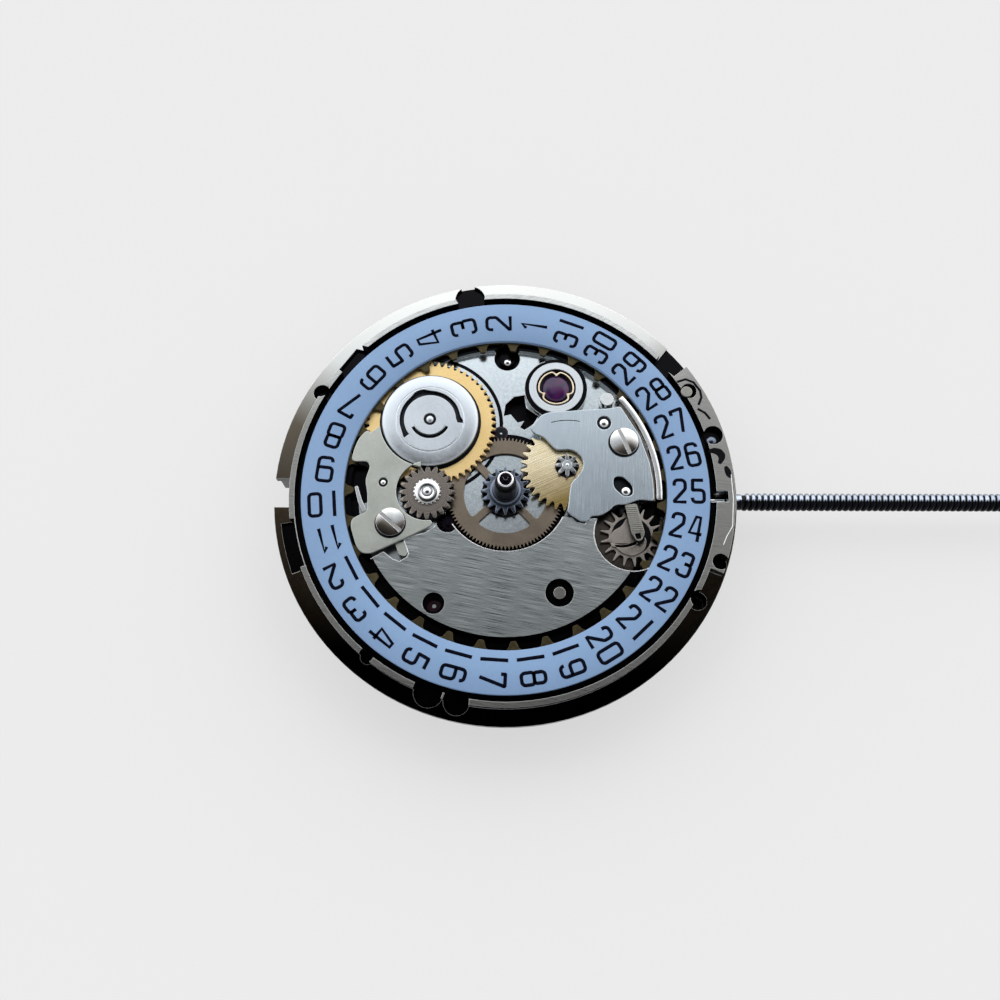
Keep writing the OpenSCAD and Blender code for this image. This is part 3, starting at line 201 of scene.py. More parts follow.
def makeGrain():
    # fine matt grain with a little larger clouding: mask for colour and roughness, height for bumps
    inputs = {"Vector": nowhere, "Scale": 9000.0, "Clouding": 0.4}
    tree, given, end = newTree("fineGrain", "ShaderNodeTree", inputs, maskAndHeight)
    fine = node(tree, "ShaderNodeTexNoise", {"Vector": given["Vector"], "Scale": given["Scale"], "Detail": 3})
    wide = node(tree, "ShaderNodeTexNoise", {"Vector": given["Vector"], "Scale": 420, "Detail": 2})
    mix = node(tree, "ShaderNodeMix", {0: given["Clouding"], 2: fine.outputs[0], 3: wide.outputs[0]},
               data_type="FLOAT")
    feed(end, {"Mask": mix.outputs[0], "Height": fine.outputs[0]})
    return tree


def makeBrushing():
    # long scratches in one direction
    inputs = {"Vector": nowhere, "Angle": 0.0, "Width": 0.00006, "Length": 0.0025}
    tree, given, end = newTree("brushing", "ShaderNodeTree", inputs, maskAndHeight)
    spin = node(tree, "ShaderNodeVectorRotate", {"Vector": given["Vector"], "Angle": times(given["Angle"], -1.0)},
                rotation_type="Z_AXIS")
    along, across = apart(spin.outputs[0])[:2]
    drawn = combined(tree, maths("DIVIDE", along, given["Length"]), maths("DIVIDE", across, given["Width"]))
    lines = node(tree, "ShaderNodeTexNoise", {"Vector": drawn, "Scale": 1.0, "Detail": 4, "Roughness": 0.6})
    feed(end, {"Mask": lines.outputs[0], "Height": lines.outputs[0]})
    return tree


def makeTurning():
    # rings left by a lathe round a centre
    inputs = {"Vector": nowhere, "Centre": nowhere, "Pitch": 0.00004}
    tree, given, end = newTree("turning", "ShaderNodeTree", inputs, maskAndHeight)
    x, y = apart(vectors("SUBTRACT", given["Vector"], given["Centre"]))[:2]
    away = maths("DIVIDE", vectors("LENGTH", combined(tree, x, y)), given["Pitch"])
    rings = node(tree, "ShaderNodeTexNoise", noise_dimensions="1D")
    feed(rings, {"W": away, "Scale": 1.0, "Detail": 3})
    feed(end, {"Mask": rings.outputs[0], "Height": rings.outputs[0]})
    return tree


def makeEdgeWear():
    # rounds sharp edges in the shading and marks them, for polish with a painted highlight on them
    tree, given, end = newTree("edgeWearAndHighlight", "ShaderNodeTree", {"Radius": 0.00003, "Sharpness": 3.0},
                               {"Normal": nowhere, "Mask": 0.0})
    soft = node(tree, "ShaderNodeBevel", {"Radius": given["Radius"]}, samples=4).outputs[0]
    away = minus(1.0, vectors("DOT_PRODUCT", soft, node(tree, "ShaderNodeNewGeometry").outputs["Normal"]))
    feed(end, {"Mask": maths("MULTIPLY", away, given["Sharpness"], clamp=True), "Normal": soft})
    return tree


fineGrain, brushing, turning, edgeWearAndHighlight = makeGrain(), makeBrushing(), makeTurning(), makeEdgeWear()


def startMaterial(name, metallic=1.0):
    material = bpy.data.materials.new(name)
    material.use_nodes = True
    tree = material.node_tree
    shader = feed(tree.nodes["Principled BSDF"], {"Metallic": metallic})
    return material, tree, shader, node(tree, "ShaderNodeTexCoord").outputs["Object"]


reliefDepth = 0.00001


def addRelief(shader, strength, height, normal=None):
    relief = node(shader.id_data, "ShaderNodeBump", {"Strength": strength, "Distance": reliefDepth,
                                                    "Height": height})
    if normal is not None:
        feed(relief, {"Normal": normal})
    feed(shader, {"Normal": relief.outputs[0]})


def addPattern(tree, where, kind, *sizes):
    if kind == "brushed":
        angle, width, length = sizes
        return place(tree, brushing, Vector=where, Angle=math.radians(angle), Width=width, Length=length)
    if kind == "turned":
        centre, pitch = sizes
        return place(tree, turning, Vector=where, Centre=Vector((*centre, 0)) * mm, Pitch=pitch)
    scale, clouding = sizes
    return place(tree, fineGrain, Vector=where, Scale=scale, Clouding=clouding)


# shares of the pattern and of wide clouds in a metal's tone, and what polish with a painted highlight adds at its edges
metalShares = {"pattern": 0.7, "clouds": 0.3, "cloudScale": 2600.0, "clouding": 0.6, "edge": 0.00003,
               "gain": 1.15, "lift": 0.08, "smoother": 0.8, "rougher": 1.25, "faint": 0.45}


def makeMetal(name, light, dark, rough, pattern, bump, polishAndHighlight=0.5, shadeSlope=None):
    # a metal with a pattern of lines or grain, rounded edges and a little polish with a painted highlight on them;
    # shadeSlope is a direction, where along it in mm a painted shade tone starts and is full, and that tone
    s = metalShares
    material, tree, shader, where = startMaterial(name)
    surface = addPattern(tree, where, *pattern).outputs
    clouds = place(tree, fineGrain, Vector=where, Scale=s["cloudScale"], Clouding=s["clouding"])
    edges = place(tree, edgeWearAndHighlight, Radius=s["edge"]).outputs
    both = plus(times(surface["Mask"], s["pattern"]), times(clouds.outputs["Mask"], s["clouds"]))
    body = tinted(both, dark, light)
    if shadeSlope:
        direction, start, stop, tone = shadeSlope
        shadeShare = spread(vectors("DOT_PRODUCT", where, direction), 0.0, 1.0, start * mm, stop * mm)
        body = blend(shadeShare, body, tinted(both, shaded(tone, s["faint"]), tone))
    # the edges are brightened towards a polished tone: polish with a painted highlight
    polished = tuple(min(1.0, c * s["gain"] + s["lift"]) for c in light)
    feed(shader, {"Base Color": blend(times(edges["Mask"], polishAndHighlight), body, polished),
                  "Roughness": spread(both, rough * s["smoother"], rough * s["rougher"])})
    addRelief(shader, bump, surface["Height"], edges["Normal"])
    return material


# plate colours; the shaded wall, gap and recess are painted shade, the flange's dim and black tones are painted
# reflection, and the edge colour is polish with a painted highlight
plateFinish = {"works": (0.60, 0.655, 0.69), "boss": (0.43, 0.47, 0.48), "bossDark": (0.15, 0.165, 0.17),
               "rim": (0.58, 0.60, 0.60), "flange": (0.50, 0.51, 0.50), "shadedWall": (0.03, 0.027, 0.025),
               "gap": (0.006, 0.006, 0.007), "recess": (0.11, 0.10, 0.09), "flangeDimReflection": (0.125, 0.105, 0.08),
               "flangeBlackReflection": (0.004, 0.004, 0.005), "back": (0.62, 0.65, 0.67), "edge": (0.95, 0.97, 0.98),
               "worksDark": 0.78, "rimDark": 0.55, "edgeWearAndHighlight": 0.7, "bump": 0.35, "speckle": 0.25,
               "grain": (5200.0, 0.45), "bossLines": (-11, 0.000022, 0.0018), "rimLines": (22, 0.00006, 0.0009),
               "bossContrast": (0.36, 0.62), "edgeRadius": 0.00004, "grainRough": (0.13, 0.26),
               "lineRough": (0.22, 0.42), "flangeRough": 0.5}
# where each finish lies: inner and outer radius, then lowest and highest level, in mm; the shaded wall, gap, low edge,
# ditch and recess are painted shade
plateZones = {"boss": (-1, 8.4, -0.27, -0.23), "rim": (-1, 99, -0.03, 99), "flange": (11.9, 99, -0.72, -0.68),
              "shadedWall": (11.0, 99, -99, -0.72), "gap": (8.28, 11.8, -0.60, -0.03), "lowEdgeShade": (11.0, 99, -1.25, -0.73),
              "ditch": (8.28, 8.82, -1.02, -0.5), "recess": (-1, 2.12, -1.5, -0.45)}
# the ditch's near side is painted shade
ditchBelow, frontFrom = 0.5, -1.5  # the ditch is dark on the near side only; lower than the second is the back
# round places on the dial side painted near black as shade: centre, inner and outer radius, highest level
shadePlaces = [(shockAt, 1.54, 1.80, -0.50), (driveAt, 0.30, 3.76, -0.90), (driveAt, 3.96, 4.17, -0.70),
              ((0.9, 5.0), 0.0, 1.5, -0.97), (settingAt, 0.0, 1.32, -0.50), ((0.0, 0.0), 3.12, 3.56, -0.50),
              ((2.95, -5.85), 0.34, 0.79, -0.28), ((-3.899, -6.443), 0.0, 0.61, -0.28),
              ((0.1, 8.3), 0.0, 0.76, -0.96), ((11.75, 3.2), 0.0, 0.56, -0.1), ((-8.3, 0.5), 0.0, 1.15, -0.50),
              ((7.7, -0.9), 0.0, 0.8, -0.50), ((-3.212, -1.855), 0.0, 0.65, -0.50)]
# painted reflection: how the rim and flange darken from the upper edge down to the lower one
rimPaintedReflection = {"leanLeft": 0.55, "leanRight": 0.85, "from": -2.5, "to": 2.5, "rim": (0.42, 0.4116, 0.3948), "tilt": 0.08,
           "blackFrom": -9.6, "blackTo": -6.4}


def makePlateMaterial(p, zones, t):
    # one plate, its finishes told apart by level and radius: satin floor, brushed boss, grained rim, painted shade in
    # the gaps
    material, tree, shader, where = startMaterial("rhodium_plate")
    x, y, z = apart(where)
    flat = combined(tree, x, y)

    def awayFrom(centre):
        return vectors("DISTANCE", flat, (centre[0] * mm, centre[1] * mm, 0))

    def zone(distance, near, far, low, high):
        return times(between(distance, near * mm, far * mm), between(z, low * mm, high * mm))

    radius = awayFrom((0, 0))
    masks = {name: zone(radius, *limits) for name, limits in zones.items() if name != "recess"}
    masks["recess"] = zone(awayFrom(correctorAt), *zones["recess"])
    ditchShade = times(masks["ditch"], maths("LESS_THAN", y, ditchBelow * mm))
    # painted shade: the gap, the low edge, the ditch's near side and the shade places go near black
    dark = either(either(masks["gap"], masks["lowEdgeShade"]), ditchShade)
    for centre, near, far, level in shadePlaces:
        dark = either(dark, zone(awayFrom(centre), near, far, frontFrom, level))
    onBack = minus(1.0, maths("GREATER_THAN", z, frontFrom * mm))
    lined = either(masks["boss"], masks["rim"])
    offFlange = minus(1.0, masks["flange"])
    grain = addPattern(tree, where, "grain", *p["grain"]).outputs
    brushed = addPattern(tree, where, "brushed", *p["bossLines"]).outputs
    rimLines = addPattern(tree, where, "brushed", *p["rimLines"]).outputs
    edges = place(tree, edgeWearAndHighlight, Radius=p["edgeRadius"]).outputs
    # painted reflection: the rim and flange darken downwards, the flange going black at the bottom
    lean = either(times(x, -t["leanLeft"]), times(x, t["leanRight"]))
    reflectionDimming = spread(minus(y, lean), 1.0, 0.0, t["from"] * mm, t["to"] * mm)
    rim = tinted(rimLines["Mask"], shaded(p["rim"], p["rimDark"]), p["rim"])
    rim = blend(reflectionDimming, rim, tuple(c * share for c, share in zip(p["rim"], t["rim"])))
    reflectionBlackening = spread(plus(y, times(x, t["tilt"])), 1.0, 0.0, t["blackFrom"] * mm, t["blackTo"] * mm)
    flange = blend(reflectionBlackening, blend(reflectionDimming, p["flange"], p["flangeDimReflection"]), p["flangeBlackReflection"])
    colour = tinted(grain["Mask"], shaded(p["works"], p["worksDark"]), p["works"])
    boss = tinted(brushed["Mask"], p["bossDark"], p["boss"], *p["bossContrast"])
    for mask, tone in ((masks["boss"], boss), (masks["rim"], rim), (masks["flange"], flange), (onBack, p["back"]),
                       (masks["recess"], p["recess"]), (masks["shadedWall"], p["shadedWall"]),
                       (times(edges["Mask"], p["edgeWearAndHighlight"]), p["edge"]), (dark, p["gap"])):
        colour = blend(mask, colour, tone)
    rough = node(tree, "ShaderNodeMix", {0: lined, 2: spread(grain["Mask"], *p["grainRough"]),
                                         3: spread(brushed["Mask"], *p["lineRough"])}, data_type="FLOAT")
    feed(shader, {"Base Color": colour, "Roughness": times(rough.outputs[0], either(offFlange, p["flangeRough"]))})
    speckle = times(grain["Height"], p["speckle"], offFlange)
    addRelief(shader, p["bump"], plus(times(brushed["Height"], lined), speckle), edges["Normal"])
    return material


def makeMatt(name, scale, clouding, dark, light, rough, specular, bump=0):
    # lacquer, ink or the studio's floor with a faint speckle
    material, tree, shader, where = startMaterial(name, 0.0)
    grain = addPattern(tree, where, "grain", scale, clouding).outputs
    feed(shader, {"Base Color": tinted(grain["Mask"], dark, light), "Specular IOR Level": specular,
                  "Roughness": spread(grain["Mask"], *rough) if isinstance(rough, tuple) else rough})
    if bump:
        addRelief(shader, bump, grain["Height"])
    return material, shader


stone = {"grain": (2400.0, 0.5), "facing": 0.35, "contrast": (0.4, 0.62), "rough": (0.03, 0.08), "coat": 0.08,
         "ior": 1.45}


def makeJewel(name, deep, bright, s):
    # clear coloured stone over a dark bed
    material, tree, shader, where = startMaterial(name, 0.0)
    clouds = addPattern(tree, where, "grain", *s["grain"]).outputs["Mask"]
    facing = node(tree, "ShaderNodeLayerWeight", {"Blend": s["facing"]}).outputs["Facing"]
    feed(shader, {"Base Color": blend(facing, tinted(clouds, deep, bright, *s["contrast"]), deep),
                  "Roughness": spread(clouds, *s["rough"]), "Coat Weight": s["coat"], "IOR": s["ior"]})
    return material


# light and dark tone, roughness, pattern, bump, then polish with a painted highlight at the edges and a second tone of
# painted shade along a slope where they differ
metals = {
    "bridge_satin": ((0.49, 0.56, 0.62), (0.42, 0.48, 0.535), 0.24, ("brushed", 88, 0.00005, 0.0016), 0.08),
    "keeper_grey": ((0.46, 0.48, 0.45), (0.36, 0.38, 0.355), 0.38, ("grain", 8000.0, 0.5), 0.10),
    "bright_steel": ((0.80, 0.81, 0.82), (0.62, 0.63, 0.64), 0.14, ("grain", 5200.0, 0.6), 0.05),
    "gilt_brass": ((0.82, 0.62, 0.31), (0.68, 0.49, 0.21), 0.36, ("grain", 9000.0, 0.45), 0.22),
    # gilt_grained darkens towards the lower right with painted shade
    "gilt_grained": ((0.98, 0.90, 0.70), (0.74, 0.60, 0.33), 0.26, ("brushed", 24, 0.00007, 0.0030), 0.5, 0.5,
                     ((0.35, -0.94, 0), -0.8, 1.6, (0.42, 0.30, 0.11))),
    "spring_gold": ((0.90, 0.78, 0.60), (0.60, 0.46, 0.28), 0.16, ("grain", 6000.0, 0.5), 0.05),
    # the date ring's gilt teeth, darkened with painted shade as they lie in the gap
    "tooth_gold_shaded": ((0.095, 0.078, 0.042), (0.030, 0.024, 0.014), 0.40, ("grain", 6000.0, 0.5), 0.10),
    "pinion_steel": ((0.36, 0.37, 0.39), (0.24, 0.25, 0.26), 0.20, ("grain", 6400.0, 0.55), 0.05),
    "finger_steel": ((0.58, 0.63, 0.68), (0.45, 0.49, 0.54), 0.36, ("grain", 6400.0, 0.55), 0.06),
    "screw_steel": ((0.74, 0.73, 0.72), (0.60, 0.59, 0.58), 0.08, ("grain", 5200.0, 0.6), 0.04),
    "glint_steel": ((0.97, 0.98, 1.0), (0.86, 0.88, 0.91), 0.20, ("grain", 5200.0, 0.6), 0.04),
    "dark_wheel": ((0.235, 0.195, 0.155), (0.165, 0.137, 0.108), 0.36, ("grain", 9000.0, 0.5), 0.08, 0.9),
    "corrector_steel": ((0.40, 0.37, 0.34), (0.26, 0.235, 0.215), 0.30, ("grain", 6500.0, 0.5), 0.15, 0.9),
    "blued_steel": ((0.17, 0.20, 0.26), (0.09, 0.105, 0.14), 0.20, ("turned", (0, 0), 0.00005), 0.15),
    "turned_inter": ((0.27, 0.24, 0.215), (0.16, 0.14, 0.125), 0.26, ("turned", interAt, 0.00005), 0.1),
    "turned_shock": ((0.60, 0.64, 0.68), (0.50, 0.54, 0.58), 0.32, ("turned", shockAt, 0.00005), 0.1),
    "black_steel": ((0.022, 0.023, 0.026), (0.010, 0.011, 0.013), 0.30, ("grain", 8000.0, 0.4), 0.06),
    "pitch_black": ((0.010, 0.010, 0.012), (0.004, 0.004, 0.005), 0.45, ("grain", 8000.0, 0.4), 0.03, 0.0),
    "tongue_grey": ((0.34, 0.335, 0.31), (0.21, 0.205, 0.19), 0.30, ("grain", 8000.0, 0.5), 0.10),
    # thread_steel's lower side is painted near black as a dark reflection
    "thread_steel": ((0.50, 0.56, 0.66), (0.20, 0.23, 0.28), 0.14, ("grain", 3600.0, 0.7), 0.06, 0.5,
                     ((0, -1, 0), -0.06, 0.10, (0.012, 0.013, 0.017))),
    "back_satin": ((0.70, 0.73, 0.75), (0.50, 0.53, 0.55), 0.26, ("brushed", 35, 0.0005, 0.02), 0.25),
    "rotor_gold": ((0.80, 0.66, 0.42), (0.58, 0.46, 0.27), 0.26, ("turned", (0, 0), 0.00022), 0.3),
    "heavy_metal": ((0.34, 0.33, 0.32), (0.22, 0.215, 0.21), 0.30, ("turned", (0, 0), 0.00010), 0.2),
}
# deep and bright tone
jewels = {"ruby": ((0.010, 0.001, 0.009), (0.045, 0.003, 0.024)),
          "purple_jewel": ((0.016, 0.011, 0.050), (0.075, 0.010, 0.075))}
# grain, clouding, dark and light tone, roughness, specular level, bump
# the ring's white paint is given the sky's blue reflection as painted colour
matts = {"ring_blue": (7000.0, 0.5, (0.200, 0.318, 0.520), (0.226, 0.350, 0.556), (0.48, 0.60), 0.3, 0.06),
         "numeral_ink": (12000.0, 0.3, (0.0015, 0.002, 0.006), (0.004, 0.005, 0.013), (0.5, 0.62), 0.02)}
finishes = {"rhodium_plate": makePlateMaterial(plateFinish, plateZones, rimPaintedReflection)}
finishes.update({name: makeMetal(name, *values) for name, values in metals.items()})
finishes.update({name: makeJewel(name, *values, stone) for name, values in jewels.items()})
finishes.update({name: makeMatt(name, *values)[0] for name, values in matts.items()})
print("finishes made:", len(finishes))

floorSizes = {"half": 3, "low": -4.6, "matt": (30.0, 0.5, (0.25, 0.25, 0.25), (0.253, 0.253, 0.253), 0.95, 0.0),
              "glow": 0.575}


def makeFloor(s):
    mesh = bpy.data.meshes.new("studio_floor")
    half, low = s["half"], s["low"] * mm
    corners = [(-half, -half, low), (half, -half, low), (half, half, low), (-half, half, low)]
    mesh.from_pydata(corners, [], [(0, 1, 2, 3)])
    floor = bpy.data.objects.new("studio_floor", mesh)
    scene.collection.objects.link(floor)
    material, shader = makeMatt("studio_floor", *s["matt"])
    feed(shader, {"Emission Color": (1, 1, 1), "Emission Strength": s["glow"]})
    mesh.materials.append(material)


makeFloor(floorSizes)


def polar(r, a, centre=(0, 0)):
    return (centre[0] + r * math.cos(math.radians(a)), centre[1] + r * math.sin(math.radians(a)))


def circle(centre, r, count=48):
    return [polar(r, 360 * i / count, centre) for i in range(count)]


def arc(r, start, stop, step, centre=(0, 0)):
    return [polar(r, a, centre) for a in range(start, stop, step)]


def starOutline(teeth, tooth, turn=0, centre=(0, 0)):
    # one tooth's radii and angles repeated round the centre
    return [polar(r, (i + turn) * 360 / teeth + a, centre) for i in range(teeth) for r, a in tooth]


def arcSlot(centre, r, wide, start, stop, count=28, capCount=6):
    # a curved slot with round ends
    outer = [polar(r + wide / 2, start + (stop - start) * i / count, centre) for i in range(count + 1)]
    inner = [polar(r - wide / 2, stop - (stop - start) * i / count, centre) for i in range(count + 1)]
    capOut = [polar(wide / 2, stop + 180 * i / capCount, polar(r, stop, centre)) for i in range(1, capCount)]
    capIn = [polar(wide / 2, start + 180 + 180 * i / capCount, polar(r, start, centre)) for i in range(1, capCount)]
    return outer + capOut + inner + capIn


def corner(b, u, v, count):
    # the curve that rounds the corner b between its sides u and v
    start, stop = b + u, b + v
    return [tuple(start * (1 - t) ** 2 + b * 2 * t * (1 - t) + stop * t * t)
            for t in (k / count for k in range(count + 1))]


def sidesAt(points, i):
    b = Vector(points[i])
    return b, Vector(points[i - 1]) - b, Vector(points[(i + 1) % len(points)]) - b


def rounded(points, radius, count=5):
    # a polygon with its corners rounded
    out = []
    for i in range(len(points)):
        b, u, v = sidesAt(points, i)
        if u.length < 1e-6 or v.length < 1e-6:
            continue
        reach = min(radius, 0.45 * u.length, 0.45 * v.length)
        out += corner(b, u.normalized() * reach, v.normalized() * reach, count)
    return out


# turns in degrees from which an edge stays sharp
sharpFrom = {"flat": 20, "turned": 42, "bead": 60}


def softened(mesh, kind):
    # smooth across small turns only, so flat faces stay flat
    for polygon in mesh.polygons:
        polygon.use_smooth = True
    mesh.set_sharp_from_angle(angle=math.radians(sharpFrom[kind]))
    return mesh


def addPiece(body, name, mesh, finish, slot, *replaced):
    # from millimetres to metres, then onto its body
    mesh.transform(Matrix.Scale(mm, 4))
    mesh.name = name
    mesh.materials.clear()
    mesh.materials.append(finishes[finish])
    piece = bpy.data.objects.new(name, mesh)
    scene.collection.objects.link(piece)
    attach(piece, body)
    if replaced:
        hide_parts(*replaced)


def addPieces(body, *rows):
    for row in rows:
        addPiece(body, *row)


def meshFrom(data, adapt=None):
    # the evaluated mesh of a working object, which is then removed
    work = bpy.data.objects.new("working", data)
    scene.collection.objects.link(work)
    if adapt:
        adapt(work)
    bpy.context.view_layer.update()
    mesh = bpy.data.meshes.new_from_object(work.evaluated_get(bpy.context.evaluated_depsgraph_get()))
    bpy.data.objects.remove(work)
    if data.users == 0:
        (bpy.data.curves if isinstance(data, bpy.types.Curve) else bpy.data.meshes).remove(data)
    return mesh


def moved(mesh, *shift):
    mesh.transform(Matrix.Translation(shift))
    return mesh


def layDown(mesh, *shift):
    # turns a mesh from standing along Z to lying along X
    mesh.transform(Matrix.Rotation(math.radians(90), 4, "Y"))
    return moved(mesh, *shift)


def curveFrom(name, loops, cyclic=True):
    curve = bpy.data.curves.new(name, "CURVE")
    curve.dimensions = "2D" if cyclic else "3D"
    for loop in loops:
        spline = curve.splines.new("POLY")
        spline.points.add(len(loop) - 1)
        for point, p in zip(spline.points, loop):
            point.co = (p[0], p[1], p[2] if len(p) > 2 else 0, 1)
            point.radius = p[3] if len(p) > 3 else 1
        spline.use_cyclic_u = cyclic
    return curve


def bead(lines, half, level, rounding=None):
    # round wires laid along open lines
    curve = curveFrom("bead", lines, cyclic=False)
    curve.bevel_depth = half
    if rounding:
        curve.bevel_resolution = rounding
    return softened(moved(meshFrom(curve), 0, 0, level), "bead")


def area(loop):
    return sum(a[0] * b[1] - b[0] * a[1] for a, b in zip(loop, loop[1:] + loop[:1])) / 2


def cleaned(mesh, gap=1e-5):
    work = bmesh.new()
    work.from_mesh(mesh)
    bmesh.ops.remove_doubles(work, verts=work.verts, dist=gap)
    bmesh.ops.recalc_face_normals(work, faces=work.faces)
    work.to_mesh(mesh)
    work.free()
    return mesh


def plate(loops, low, high, edge=0.03, segments=2):
    # a flat plate with holes and rounded edges; the first loop is the outline
    turnedLoops = [loops[0] if area(loops[0]) > 0 else loops[0][::-1]]
    turnedLoops += [h if area(h) < 0 else h[::-1] for h in loops[1:]]
    curve = curveFrom("plate", turnedLoops)
    curve.fill_mode = "BOTH"
    curve.extrude = (high - low) / 2 - edge
    curve.bevel_depth = edge
    curve.bevel_resolution = segments - 1
    curve.offset = -edge
    return softened(cleaned(moved(meshFrom(curve), 0, 0, (low + high) / 2)), "flat")


def lathe(profile, centre=(0, 0), count=64):
    # turns a profile of (radius, height) points round the centre; ends on the axis are closed
    work = bmesh.new()
    rings = []
    for r, z in profile:
        if r < 1e-6:
            rings.append([work.verts.new((centre[0], centre[1], z))])
        else:
            rings.append([work.verts.new((*polar(r, 360 * i / count, centre), z)) for i in range(count)])
    for a, b in zip(rings, rings[1:]):
        for i in range(count):
            j = (i + 1) % count
            corners = [a[i % len(a)], a[j % len(a)], b[j % len(b)], b[i % len(b)]]
            face = [v for k, v in enumerate(corners) if v not in corners[:k]]
            if len(face) > 2:
                work.faces.new(face)
    bmesh.ops.recalc_face_normals(work, faces=work.faces)
    mesh = bpy.data.meshes.new("turned")
    work.to_mesh(mesh)
    work.free()
    return softened(mesh, "turned")


def closedLathe(profile, centre=(0, 0), count=64):
    return lathe(profile + profile[:1], centre, count)


def washer(inner, outer, low, high, centre=(0, 0), count=48):
    return closedLathe([(inner, low), (outer, low), (outer, high), (inner, high)], centre, count)


def together(*meshes):
    work = bmesh.new()
    for mesh in meshes:
        work.from_mesh(mesh)
        bpy.data.meshes.remove(mesh)
    mesh = bpy.data.meshes.new("joined")
    work.to_mesh(mesh)
    work.free()
    return mesh


def newShapeTree(name, inputs):
    inputs = {"Geometry": None, **inputs, "Material": None}
    return newTree(name, "GeometryNodeTree", inputs, {"Geometry": None})


def endTree(tree, geometry, given, end):
    real = node(tree, "GeometryNodeRealizeInstances", {0: geometry})
    paint = node(tree, "GeometryNodeSetMaterial", {"Geometry": real.outputs[0], "Material": given["Material"]})
    feed(end, {0: paint.outputs[0]})
    return tree


def runTree(tree, data, values, bevel=None):
    # runs a tree on a working object and gives back a plain mesh
    def adapt(work):
        modifier = work.modifiers.new("tree", "NODES")
        modifier.node_group = tree
        for item in tree.interface.items_tree:
            if item.in_out == "INPUT" and item.name in values:
                modifier[item.identifier] = values[item.name]
        if bevel:
            edge = work.modifiers.new("edges", "BEVEL")
            edge.width, edge.segments = bevel, 2
            edge.limit_method, edge.angle_limit = "ANGLE", math.radians(60)
            edge.use_clamp_overlap = True

    return meshFrom(data, adapt)


# steps round one tooth, and its height at shares of the way across it
toothShape = {"steps": 8, "flank": ((0.13, 0.0), (0.26, 0.35), (0.38, 0.86), (0.5, 1.0), (0.62, 0.86), (0.74, 0.35),
                                    (0.87, 0.0))}


def makeToothTree(s):
    # a toothed outline joined with the loops it is given, filled and thickened
    tree, given, end = newShapeTree("toothedWheel", {"Teeth": 20, "Tip Radius": 2.0, "Root Radius": 1.7,
                                                     "Phase": 0.0, "Fatness": 1.0, "Thickness": 0.2})
    ring = node(tree, "GeometryNodeCurvePrimitiveCircle", {"Resolution": times(given["Teeth"], s["steps"])})
    share = maths("DIVIDE", node(tree, "GeometryNodeInputIndex").outputs[0], s["steps"])
    tooth = maths("FRACT", plus(share, 0.0001))
    slim = maths("DIVIDE", minus(tooth, 0.5), given["Fatness"])
    shape = node(tree, "ShaderNodeFloatCurve", {"Value": plus(slim, 0.5)})
    points = shape.mapping.curves[0].points
    points[0].location, points[1].location = (0, 0), (1, 0)
    for x, y in s["flank"]:
        points.new(x, y)
    shape.mapping.update()
    tall = minus(given["Tip Radius"], given["Root Radius"])
    radius = plus(given["Root Radius"], times(tall, shape.outputs[0]))
    angle = plus(times(maths("DIVIDE", minus(share, 0.5), given["Teeth"]), 2 * math.pi), given["Phase"])
    spot = combined(tree, times(radius, maths("COSINE", angle)), times(radius, maths("SINE", angle)))
    toothed = node(tree, "GeometryNodeSetPosition", {"Geometry": ring.outputs["Curve"], "Position": spot})
    joined = node(tree, "GeometryNodeJoinGeometry", {0: toothed.outputs[0]})
    feed(joined, {0: given["Geometry"]})
    filled = node(tree, "GeometryNodeFillCurve", {"Curve": joined.outputs[0]}).outputs[0]
    thick = node(tree, "GeometryNodeExtrudeMesh", {"Mesh": filled, "Offset Scale": given["Thickness"],
                                                   "Individual": False})
    both = node(tree, "GeometryNodeJoinGeometry", {0: thick.outputs["Mesh"]})
    feed(both, {0: node(tree, "GeometryNodeFlipFaces", {0: filled}).outputs[0]})
    welded = node(tree, "GeometryNodeMergeByDistance", {"Geometry": both.outputs[0], "Distance": 1e-5})
    return endTree(tree, welded.outputs[0], given, end)


toothTree = makeToothTree(toothShape)


def wheel(centre, material, teeth, module, low, high, bore=0, phase=0.0, edge=0.02, tipShare=0.9, rootShare=1.25,
          fatness=1.0, openings=()):
    pitch = teeth * module / 2
    holes = list(openings) + ([circle((0, 0), bore)] if bore else [])
    mesh = runTree(toothTree, curveFrom("holes", holes), {
        "Teeth": teeth, "Tip Radius": pitch + tipShare * module, "Root Radius": pitch - rootShare * module,
        "Phase": math.radians(phase), "Fatness": fatness, "Thickness": high - low,
        "Material": finishes[material]}, edge)
    return softened(moved(mesh, *centre, low), "flat")


def addWheel(body, name, centre, sizes, finish, *slotAndReplaced):
    addPiece(body, name, wheel(centre, finish, **sizes), finish, *slotAndReplaced)


def windows(inner, outer, spokes, width, turn=0.0, radius=0.3):
    # openings between spokes of even width, with round corners
    farSteps, nearSteps, cornerSteps = 14, 8, 4

    def side(r, a, way):
        return a + way * math.degrees(math.asin(min(0.9, width / 2 / r)))

    loops = []
    for i in range(spokes):
        start, stop = turn + 360 * i / spokes, turn + 360 * (i + 1) / spokes
        a0, a1 = side(outer, start, 1), side(outer, stop, -1)
        b0, b1 = side(inner, start, 1), side(inner, stop, -1)
        far = [polar(outer, a0 + (a1 - a0) * k / farSteps) for k in range(farSteps + 1)]
        near = [polar(inner, b1 - (b1 - b0) * k / nearSteps) for k in range(nearSteps + 1)]
        loop, out = far + near, []
        for k, p in enumerate(loop):
            if p in (far[0], far[-1], near[0], near[-1]):
                b, u, v = sidesAt(loop, k)
                out += corner(b, u.normalized() * min(radius, 0.8 * u.length),
                              v.normalized() * min(radius, 0.8 * v.length), cornerSteps)
            else:
                out.append(p)
        loops.append(out)
    return loops


